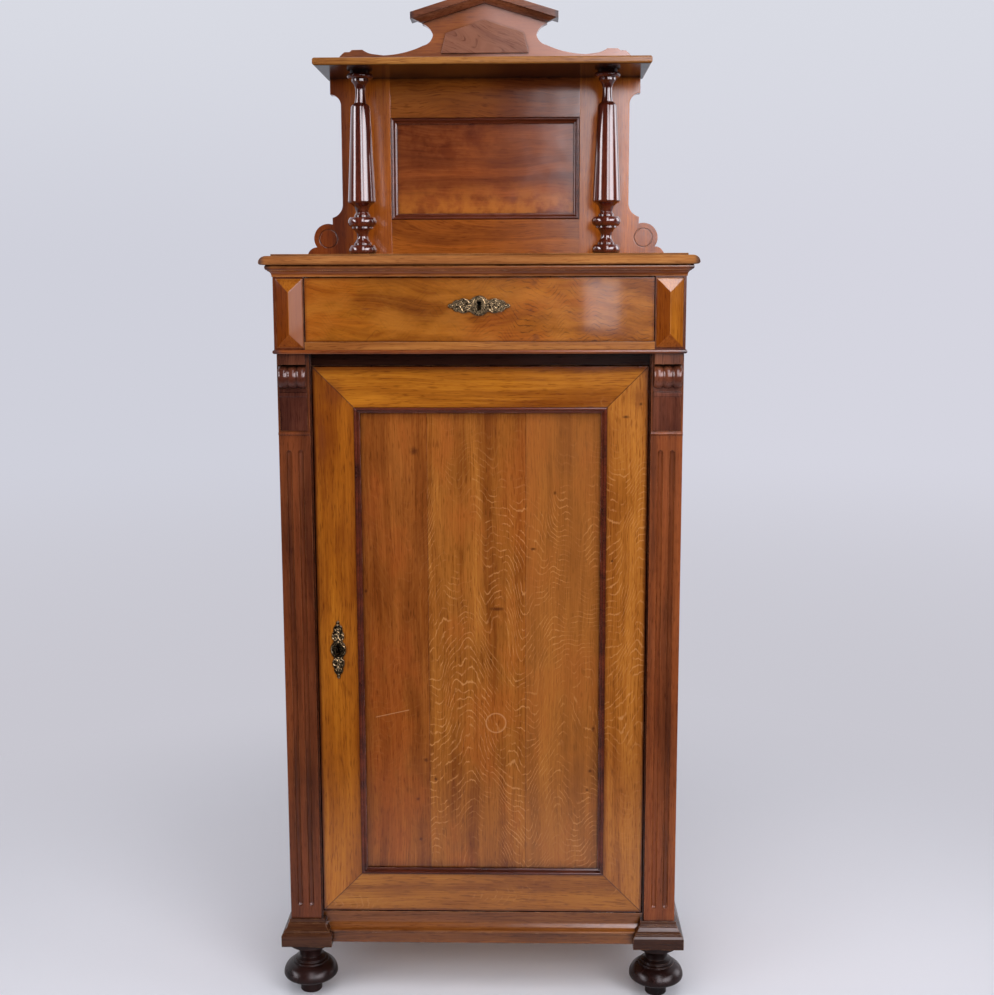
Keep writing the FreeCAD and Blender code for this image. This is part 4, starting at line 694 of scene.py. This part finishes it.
door_frame = {"edge": 0.0004, "marks": door_frame_marks}
gallery_polish = {"gloss": 0.06, "dull": 0.13, "coat": 1.0, "smooth": 0.1}
pale_worn = (186, 128, 104)
finishes = {
    "door_panel": timber(
        "Door panel oak", "Z", (175, 110, 42), (126, 68, 21), 1.0, warm=(166, 92, 34), flecks=0.6, cover=0.57,
        pitch=80.0, sweep=28.0, where=panel_fleck_area, marks=door_panel_marks),
    "door_stile_left": timber(
        "Left stile oak", "Z", (184, 112, 26), (131, 67, 12), 2.3, flecks=0.15, cover=0.3, **door_frame),
    "door_stile_right": timber(
        "Right stile oak", "Z", (199, 130, 50), (143, 80, 24), 4.7, flecks=0.55, cover=0.65, pitch=80.0,
        sweep=24.0, where=stile_fleck_area, **door_frame),
    "door_rail_top": timber(
        "Top rail oak", "X", (204, 132, 34), (142, 77, 15), 6.1, flecks=0.2, cover=0.3, **door_frame),
    "door_rail_bottom": timber(
        "Bottom rail oak", "X", (177, 114, 37), (131, 72, 20), 8.2, flecks=0.3, **door_frame),
    "drawer_front": timber(
        "Drawer veneer", "X", (175, 107, 24), (116, 57, 9), 9.5, warm=(170, 90, 20), rings=18.0, bend=0.16,
        pore=0.25, flecks=0.95, cover=0.95, pitch=130.0, sweep=30.0, fleck_color=(70, 32, 10),
        where=crown_figure_area, crown=True, coat=0.8, smooth=0.04, marks=drawer_marks),
    "drawer_rail": timber("Drawer rail oak", "X", (198, 134, 66), (148, 91, 42), 10.1, wear=0.6),
    # The head rail is nearly black as painted shade of the recess over the door.
    "drawer_divider": timber("Head rail in painted shade", "X", (50, 24, 14), (30, 14, 9), 11.1, mirror=0.2, coat=0.0),
    "top_rail": timber("Top rail", "X", (140, 80, 36), (100, 52, 24), 12.2, wear=0.6),
    "top_board": timber(
        "Top board oak", "X", (188, 130, 74), (138, 84, 44), 13.4, gloss=0.5, dull=0.7, mirror=0.1, coat=0.0,
        wear=0.9, worn=(216, 158, 104), marks=painted_shade_at_ends("top_board", 0.011)),
    "cornice_moulding": timber(
        "Cornice", "X", (180, 112, 56), (126, 74, 40), 14.7, wear=1.0, worn=(206, 140, 92),
        marks=cornice_painted_shade),
    "apron_moulding": timber(
        "Apron moulding", "X", (150, 82, 38), (106, 52, 24), 15.1, wear=1.0,
        marks=painted_shade_at_ends("apron_moulding", 0.018)),
    "facet_blocks": timber(
        "Facet blocks", "Z", (184, 114, 34), (143, 77, 20), 16.6, gloss=0.05, dull=0.1, coat=0.2, smooth=0.04,
        wear=0.5, marks=facet_light_and_shade),
    # The posts are dark as painted shade of the gaps beside the door.
    "front_post": timber("Posts in painted shade", "Z", (110, 54, 26), (74, 34, 16), 17.3),
    "pilaster": timber(
        "Pilaster", "Z", (148, 80, 40), (98, 51, 27), 18.9, rings=60.0, gloss=0.16, dull=0.3, mirror=0.4,
        coat=0.05, wear=0.5, edge=0.0009, marks=left_painted_shade),
    "corbel": timber(
        "Corbel", "Z", (132, 80, 54), (82, 46, 34), 19.4, gloss=0.13, dull=0.26, coat=0.0, wear=0.6,
        edge=0.0007, marks=corbel_marks),
    "plinth_block": timber(
        "Plinth block", "X", (82, 47, 26), (49, 26, 16), 20.8, mirror=0.35, coat=0.1, wear=0.9,
        worn=(190, 130, 80)),
    "plinth_rail": timber("Plinth rail", "X", (140, 84, 35), (96, 52, 21), 21.5, wear=0.9),
    "plinth_side_mouldings": timber("Plinth side", "Y", (110, 60, 32), (72, 38, 22), 22.2),
    "side_frame": timber("Sides", "Z", (154, 86, 34), (110, 56, 22), 23.7, flecks=0.3),
    "foot": timber(
        "Feet", "Z", (42, 22, 20), (18, 9, 8), 24.3, gloss=0.2, dull=0.38, mirror=0.27, coat=0.0, dirt_and_shade=0.6,
        wear=0.6, worn=(120, 76, 54)),
    "column": timber(
        "Columns", "Z", (104, 44, 28), (52, 18, 12), 25.1, gloss=0.06, dull=0.16, coat=1.0, smooth=0.12),
    "gallery_stile": timber(
        "Gallery stiles", "Z", (191, 106, 25), (132, 64, 13), 26.8, flecks=0.2, cover=0.35, dull=0.2,
        coat=0.75, smooth=0.2, marks=gallery_stile_marks),
    "gallery_rails": timber(
        "Gallery rails", "X", (186, 108, 35), (121, 61, 20), 27.4, bend=0.14, fibre=0.6,
        marks=gallery_rail_tone_and_sheen, **gallery_polish),
    "gallery_panel": timber(
        "Gallery panel", "X", (159, 84, 36), (98, 42, 20), 28.9, bend=0.1, fibre=0.45, pore=0.3, drift=0.8,
        marks=gallery_panel_marks, **gallery_polish),
    "gallery_panel_moulding": timber(
        "Gallery moulding", "X", (110, 54, 34), (66, 28, 20), 29.3, coat=0.2, wear=0.8, worn=pale_worn),
    "door_panel_moulding": timber(
        "Door moulding", "X", (104, 46, 26), (60, 26, 18), 30.7, coat=0.2, wear=0.9, worn=pale_worn),
    "gallery_shelf": timber(
        "Gallery shelf", "X", (173, 120, 59), (120, 72, 38), 31.1, mirror=0.35, coat=0.1, wear=0.7,
        marks=soffit_painted_shade),
    "crest_board": timber(
        "Crest board", "X", (160, 91, 24), (112, 59, 17), 32.6, flecks=0.2, marks=crest_painted_sheen),
    "crest_tablet": timber(
        "Crest tablet", "Z", (148, 100, 78), (116, 72, 56), 33.2, rings=90.0, bend=0.3, fibre=0.4, drift=0.2,
        spread=(0.15, 0.85), slant=62.0),
    "gable_moulding": timber(
        "Gable moulding", "X", (154, 98, 70), (88, 50, 36), 34.8, wear=0.6, worn=(206, 160, 140),
        marks=painted_shade_at_ends("gable_moulding", 0.009)),
    "inside": bare_wood("Inside softwood", "X", (214, 168, 112), (176, 126, 78), 35.5),
    "back_boards": bare_wood("Back softwood", "Z", (190, 138, 88), (140, 94, 58), 36.1, back_board_marks),
    "iron": metal("Oiled iron", (70, 66, 62), (34, 30, 28), 0.45),
    "brass": metal("Old brass", (190, 164, 124), (52, 41, 28), 0.18, dirt_and_shade=1.0, marks=keyhole_shade_and_dirt),
    "bolt_brass": metal("Bolt brass", (196, 160, 92), (140, 108, 58), 0.28, dirt_and_shade=0.3),
}
PIECES_OF = {
    "brass": ("door_escutcheon", "drawer_escutcheon"),
    "bolt_brass": ("door_lock_bolt", "drawer_lock_bolt"),
    "iron": ("door_lock_case", "drawer_lock_case", "door_pivot_plates", "case_pivot_plates"),
    "inside": ("drawer_side_left", "drawer_side_right", "drawer_back", "drawer_bottom", "drawer_runners",
               "shelf_lower", "shelf_upper", "shelf_cleats", "case_floor", "rear_foot_blocks"),
}
FINISH_OF = {piece: finish for finish, pieces in PIECES_OF.items() for piece in pieces}


def finish_for(node):
    """The finish named for this node, or for its stem, such as pilaster for pilaster_left."""
    if node in FINISH_OF:
        return finishes[FINISH_OF[node]]
    return next(finishes[stem] for stem in sorted(finishes, key=len, reverse=True) if node.startswith(stem))


for name, node in nodes.items():
    for place in node.material_slots:
        place.material = finish_for(name)


# Turned columns and feet, finer than the solids that they stand for

# At each corner: share of the radius, share of the height, and the bulge of the arc to the next corner
FOOT_PROFILE = ((0.0, 0.0), (0.36, 0.0), (0.396, 0.02), (0.396, 0.165), (0.5, 0.19, 0.06), (0.9, 0.285, 0.3),
                (1.0, 0.35, 0.3), (0.71, 0.56), (0.66, 0.565), (0.66, 0.59), (0.56, 0.6), (0.56, 0.635),
                (0.48, 0.645), (0.4, 0.67, -0.3), (0.72, 0.885), (0.8, 0.9), (0.8, 1.0), (0.0, 1.0))
COLUMN_PROFILE = ((0.0, 0.0), (0.84, 0.0), (0.84, 0.012, 0.44), (0.84, 0.066), (0.64, 0.066),
                  (0.64, 0.077, -0.2), (0.39, 0.113, -0.2), (0.62, 0.153), (0.76, 0.157), (0.76, 0.167),
                  (0.88, 0.168, 0.44), (0.88, 0.218), (0.56, 0.22), (0.56, 0.23), (0.44, 0.245, -0.3),
                  (0.9, 0.296), (0.98, 0.305), (0.67, 0.814), (0.62, 0.823), (0.42, 0.836, -0.06),
                  (0.35, 0.91, -0.2), (0.6, 0.95), (0.6, 0.963), (0.84, 0.966, 0.47), (0.84, 0.99),
                  (0.7, 0.992), (0.7, 1.0), (0.0, 1.0))
FOOT_RADIUS, COLUMN_RADIUS = 0.047, 0.025
ARC_STEPS, LATHE_STEPS, CREASE = 8, 80, math.radians(32)
SAME_POINT = 0.000005


def lathe_line(profile, radius, height):
    """The corners of a turned profile, with points along its arcs, as (out, up)."""
    corners = [Vector((corner[0] * radius, corner[1] * height)) for corner in profile]
    points = []
    for corner, start, end in zip(profile, corners, corners[1:]):
        points.append(start)
        if len(corner) > 2:
            bulge = corner[2]
            chord = end - start
            centre = start + chord / 2 + Vector((-chord.y, chord.x)) * ((1 - bulge * bulge) / (4 * bulge))
            swing = 4 * math.atan(bulge)
            for step in range(1, ARC_STEPS):
                points.append(centre + Matrix.Rotation(swing * step / ARC_STEPS, 2) @ (start - centre))
    return points + corners[-1:]


def turned(node, body, profile, radius, finish):
    """One piece off the lathe, in the place of a node."""
    low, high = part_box(node)
    shape = bmesh.new()
    line = [shape.verts.new((point.x, 0.0, point.y)) for point in lathe_line(profile, radius, high.z - low.z)]
    edges = [shape.edges.new(pair) for pair in zip(line, line[1:])]
    bmesh.ops.spin(shape, geom=line + edges, axis=(0.0, 0.0, 1.0), cent=(0.0, 0.0, 0.0), angle=math.tau,
                   steps=LATHE_STEPS, use_merge=True)
    bmesh.ops.remove_doubles(shape, verts=shape.verts, dist=SAME_POINT)
    bmesh.ops.recalc_face_normals(shape, faces=shape.faces)
    bmesh.ops.translate(shape, verts=shape.verts, vec=((low.x + high.x) / 2, (low.y + high.y) / 2, low.z))
    for face in shape.faces:
        face.smooth = True
    for edge in shape.edges:
        edge.smooth = edge.calc_face_angle(0.0) < CREASE
    piece = add_shape(f"{node}_turned", shape, finishes[finish])
    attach(piece, body)
    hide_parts(node)


for side in ("left", "right"):
    turned(f"column_{side}", "case", COLUMN_PROFILE, COLUMN_RADIUS, "column")
    for place in ("front", "rear"):
        turned(f"foot_{place}_{side}", "case", FOOT_PROFILE, FOOT_RADIUS, "foot")


# Cast relief on the two key plates

# Places and radii are shares of half the plate's length or width, and thicknesses and sizes are in metres
# For each scroll: place along, place across, radius, turns, hand and thickness
SCROLLS = ((0.46, 0.3, 0.13, 1.25, -1, 0.0013), (0.68, 0.2, 0.09, 1.1, 1, 0.0011))
SCROLL_STEPS, SCROLL_TIGHTENING, SCROLL_THINNING = 14, 0.8, 0.45
RIM_LENGTH, RIM_WIDTH, RIM_THICKNESS, RIM_STEPS = 0.19, 0.92, 0.0011, 24
# Beads on the middle line, as (place along, radius), and the one beside it, as (along, across, radius)
MIDDLE_BEADS = ((0.27, 0.0021), (0.58, 0.0013), (0.86, 0.0019), (0.965, 0.0016))
SIDE_BEAD = (0.33, 0.42, 0.0012)
LEAF_LEANS, LEAF_ALONG, LEAF_ACROSS, LEAF_SIZE = (-0.6, 0.0, 0.6), 0.36, 0.3, (0.0062, 0.0016, 0.0014, 1.0)
RELIEF_DEPTH = 0.0016
BALL = {"u_segments": 12, "v_segments": 8}
SIDES = (-1, 1)


def scroll_path(middle, radius, start_turn, turns, hand):
    """Points of a spiral that tightens towards its eye, as (along, across, thickness share)."""
    points = []
    for step in range(SCROLL_STEPS + 1):
        share = step / SCROLL_STEPS
        angle = math.tau * (start_turn + hand * turns * share)
        reach = radius * (1 - SCROLL_TIGHTENING * share)
        points.append((middle[0] + reach * math.cos(angle), middle[1] + reach * math.sin(angle),
                       1 - SCROLL_THINNING * share))
    return points


def tapered_tube(points, thickness):
    """A mesh of a round bar bent through the points, in the plane of the plate."""
    curve = bpy.data.curves.new("scroll_line", "CURVE")
    curve.dimensions = "3D"
    curve.bevel_depth = thickness
    curve.bevel_resolution = 2
    curve.use_fill_caps = True
    line = curve.splines.new("POLY")
    line.points.add(len(points) - 1)
    for place, (along, across, share) in zip(line.points, points):
        place.co = (along, 0.0, across, 1.0)
        place.radius = share
    holder = bpy.data.objects.new("scroll_line", curve)
    mesh = bpy.data.meshes.new_from_object(holder)
    bpy.data.objects.remove(holder)
    bpy.data.curves.remove(curve)
    return mesh


def relief_bars(half_long, half_wide):
    """The scrolls of all four quarters and the rim round the keyhole, as (points, thickness)."""
    bars = []
    for side in SIDES:
        for up in SIDES:
            for along, across, radius, turns, hand, thickness in SCROLLS:
                middle = (side * along * half_long, up * across * half_wide)
                start_turn = 0.5 if side > 0 else 0.0
                points = scroll_path(middle, radius * half_long, start_turn, turns, hand * side * up)
                bars.append((points, thickness))
    angles = [math.tau * step / RIM_STEPS for step in range(RIM_STEPS + 1)]
    rim = [(RIM_LENGTH * half_long * math.cos(angle), RIM_WIDTH * half_wide * math.sin(angle), 1.0)
           for angle in angles]
    return bars + [(rim, RIM_THICKNESS)]


def key_plate_relief(node, body, upright):
    """Scrolls, leaves and beads on one key plate, each half the mirror image of the other."""
    low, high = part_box(node)
    half_long = (high.z - low.z if upright else high.x - low.x) / 2
    half_wide = (high.x - low.x if upright else high.z - low.z) / 2
    shape = bmesh.new()
    for points, thickness in relief_bars(half_long, half_wide):
        mesh = tapered_tube(points, thickness)
        shape.from_mesh(mesh)
        bpy.data.meshes.remove(mesh)
    beads = [(side * along * half_long, 0.0, radius) for side in SIDES for along, radius in MIDDLE_BEADS]
    beads += [(side * SIDE_BEAD[0] * half_long, up * SIDE_BEAD[1] * half_wide, SIDE_BEAD[2])
              for side in SIDES for up in SIDES]
    for along, across, radius in beads:
        bmesh.ops.create_uvsphere(shape, **BALL, radius=radius,
                                  matrix=Matrix.Translation((along, 0.0, across)))
    for side in SIDES:
        for lean in LEAF_LEANS:
            leaf = Matrix.Translation((side * LEAF_ALONG * half_long, 0.0, lean * LEAF_ACROSS * half_wide))
            leaf = leaf @ Matrix.Rotation(side * lean, 4, "Y") @ Matrix.Diagonal(LEAF_SIZE)
            bmesh.ops.create_uvsphere(shape, **BALL, radius=1.0, matrix=leaf)
    if upright:
        bmesh.ops.rotate(shape, verts=shape.verts, matrix=Matrix.Rotation(math.pi / 2, 3, "Y"))
    middle = ((low.x + high.x) / 2, low.y + RELIEF_DEPTH, (low.z + high.z) / 2)
    bmesh.ops.translate(shape, verts=shape.verts, vec=middle)
    for face in shape.faces:
        face.smooth = True
    relief = add_shape(f"{node}_relief", shape, finishes["brass"])
    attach(relief, body)


key_plate_relief("drawer_escutcheon", "drawer", False)
key_plate_relief("door_escutcheon", "door", True)


# Studio

WALL_LOW, WALL_TOP = srgb(200, 199, 208), srgb(217, 219, 228)
WALL_LEFT, WALL_RIGHT, WALL_TURN = srgb(207, 208, 219), srgb(213, 213, 224), (-0.3, 0.3)
FLOOR_TONE, DARK_ROOM = srgb(235, 236, 247), srgb(24, 22, 24)
FLOOR_RADIUS = 30.0
# Distances over which the floor begins to glow, and over which it takes on the wall's colour
FLOOR_TO_GLOW, FLOOR_TO_WALL = (0.75, 1.7), (1.5, 8.0)
ROOM_GLEAM, PALE_ROOM_BEHIND = 0.03, 0.85
LAMP_HEIGHTS = (0.03, 0.52, 0.03)
# Soft panes of light that the polish mirrors, in directions x and z: (from, to, blur) twice, and strength
PANES = (
    ((0.05, 0.22, 0.06), (0.05, 0.85, 0.06), 8.0),
    ((0.47, 0.84, 0.07), LAMP_HEIGHTS, 9.0),
    ((0.16, 0.5, 0.08), LAMP_HEIGHTS, 4.0),
    ((-0.91, -0.75, 0.03), LAMP_HEIGHTS, 9.0),
    ((0.54, 0.73, 0.03), (-0.12, 0.05, 0.02), 1.6),
    ((0.04, 0.064, 0.003), (-0.03, 0.004, 0.004), 4.0),
)
# Place, width, height and radiance of each lamp
SOFTBOXES = {
    "key_light": ((1.9, -3.0, 2.3), 1.8, 1.6, 5.0),
    "front_light": ((-0.3, -4.0, 2.4), 3.0, 1.4, 2.0),
    "overhead_light": ((0.1, -1.8, 3.6), 2.6, 1.8, 2.8),
    "left_light": ((-2.6, -2.2, 1.8), 1.6, 2.0, 2.4),
    "right_light": ((2.8, -0.6, 1.9), 1.4, 1.8, 1.35),
    "back_light": ((0.0, 2.4, 2.8), 2.4, 1.6, 0.85),
}
LAMP_AIM, LAMP_COLOR = Vector((0.0, -0.1, 1.0)), (1.0, 0.985, 0.965)
DAYLIGHT_COLOR, ROOM_COLOR = (0.97, 0.98, 1.0, 1.0), (0.97, 0.93, 1.0, 1.0)


def studio_floor():
    """A wide pale floor that turns into the backdrop's colour away from the cabinet, with no edge to be seen.

    The polish mirrors it only near the cabinet. The room in front of it is dark.
    """
    material, tree, shader = new_material("Studio floor")
    place = object_place(tree)
    x, y, _ = split(tree, place)
    distance = measure(tree, "LENGTH", place)
    rays = put(tree, "ShaderNodeLightPath").outputs
    dark = times(tree, rays["Is Glossy Ray"], fade(tree, y, -1.4, -0.5, 1.0, 0.45))
    tree.links.new(tint(tree, dark, FLOOR_TONE, DARK_ROOM), shader.inputs["Base Color"])
    shader.inputs["Roughness"].default_value = 0.6
    shader.inputs["Specular IOR Level"].default_value = 0.2
    turn = calc(tree, "DIVIDE", x, distance)
    middle = tint(tree, fade(tree, turn, *WALL_TURN), WALL_LEFT, WALL_RIGHT)
    wall = tint(tree, fade(tree, distance, *FLOOR_TO_WALL), WALL_LOW, middle)
    glow = put(tree, "ShaderNodeEmission", {"Color": tint(tree, dark, wall, DARK_ROOM), "Strength": 1.0})
    mixed = blend(tree, fade(tree, distance, *FLOOR_TO_GLOW), shader, glow)
    output = next(node for node in tree.nodes if node.type == "OUTPUT_MATERIAL")
    tree.links.new(mixed.outputs[0], output.inputs["Surface"])
    shape = bmesh.new()
    bmesh.ops.create_circle(shape, cap_ends=True, segments=96, radius=FLOOR_RADIUS)
    floor = add_shape("studio_floor", shape, material)


def studio_world():
    """A plain backdrop for the camera, a soft even light, and the room that the polish mirrors.

    That room is dark in front, with the panes of light. It has one more light beside the cabinet and is pale
    behind it.
    """
    world = bpy.data.worlds.new("Studio")
    world.use_nodes = True
    bpy.context.scene.world = world
    tree = world.node_tree
    tree.nodes.clear()
    way = put(tree, "ShaderNodeTexCoord").outputs["Generated"]
    x, y, z = split(tree, way)
    middle = tint(tree, fade(tree, x, *WALL_TURN), WALL_LEFT, WALL_RIGHT)
    sky = tint(tree, fade(tree, z, 0.0, 0.22), middle, WALL_TOP)
    lamps = 0.0
    for wide, tall, strength in PANES:
        lamps = plus(tree, lamps, times(tree, between(tree, x, *wide), between(tree, z, *tall), strength))
    in_front = up_to(tree, y, -0.12, 0.0, 1.0)
    beside = times(tree, between(tree, y, 0.08, 0.5, 0.04), fade(tree, x, 0.3, 0.6),
                   between(tree, z, *LAMP_HEIGHTS), 4.0)
    lamps = plus(tree, times(tree, lamps, in_front), beside)
    behind = fade(tree, y, -0.1, 0.3, 0.0, PALE_ROOM_BEHIND)
    mirrored = plus(tree, plus(tree, lamps, ROOM_GLEAM), behind)
    daylight = fade(tree, z, 0.02, 0.35, 0.03, 0.335)
    seen, light, room = (
        put(tree, "ShaderNodeBackground", {"Color": color, "Strength": strength})
        for color, strength in ((sky, 1.0), (DAYLIGHT_COLOR, daylight), (ROOM_COLOR, mirrored)))
    rays = put(tree, "ShaderNodeLightPath").outputs
    mixed = blend(tree, rays["Is Camera Ray"], blend(tree, rays["Is Glossy Ray"], light, room), seen)
    output = put(tree, "ShaderNodeOutputWorld")
    tree.links.new(mixed.outputs[0], output.inputs["Surface"])


def softbox(name, place, width, height, radiance):
    """A flat studio light that faces the cabinet. The polish mirrors the room above in its place."""
    lamp = bpy.data.lights.new(name, "AREA")
    lamp.shape = "RECTANGLE"
    lamp.size = width
    lamp.size_y = height
    lamp.energy = radiance * math.pi * width * height
    lamp.color = LAMP_COLOR
    lamp_object = add_object(name, lamp)
    lamp_object.location = place
    lamp_object.rotation_euler = (Vector(place) - LAMP_AIM).to_track_quat("Z", "Y").to_euler()
    lamp_object.visible_glossy = False


bpy.context.scene.view_settings.view_transform = "Standard"
studio_floor()
studio_world()
for name, settings in SOFTBOXES.items():
    softbox(name, *settings)

camera_data = bpy.data.cameras.new("camera")
camera_data.sensor_width = SENSOR
camera_data.lens = FOCAL_PIXELS / max(FRAME_WIDTH, FRAME_HEIGHT) * SENSOR
camera = add_object("camera", camera_data)
camera.location = CAMERA_PLACE
camera.rotation_euler = camera_way.to_euler()
bpy.context.scene.camera = camera
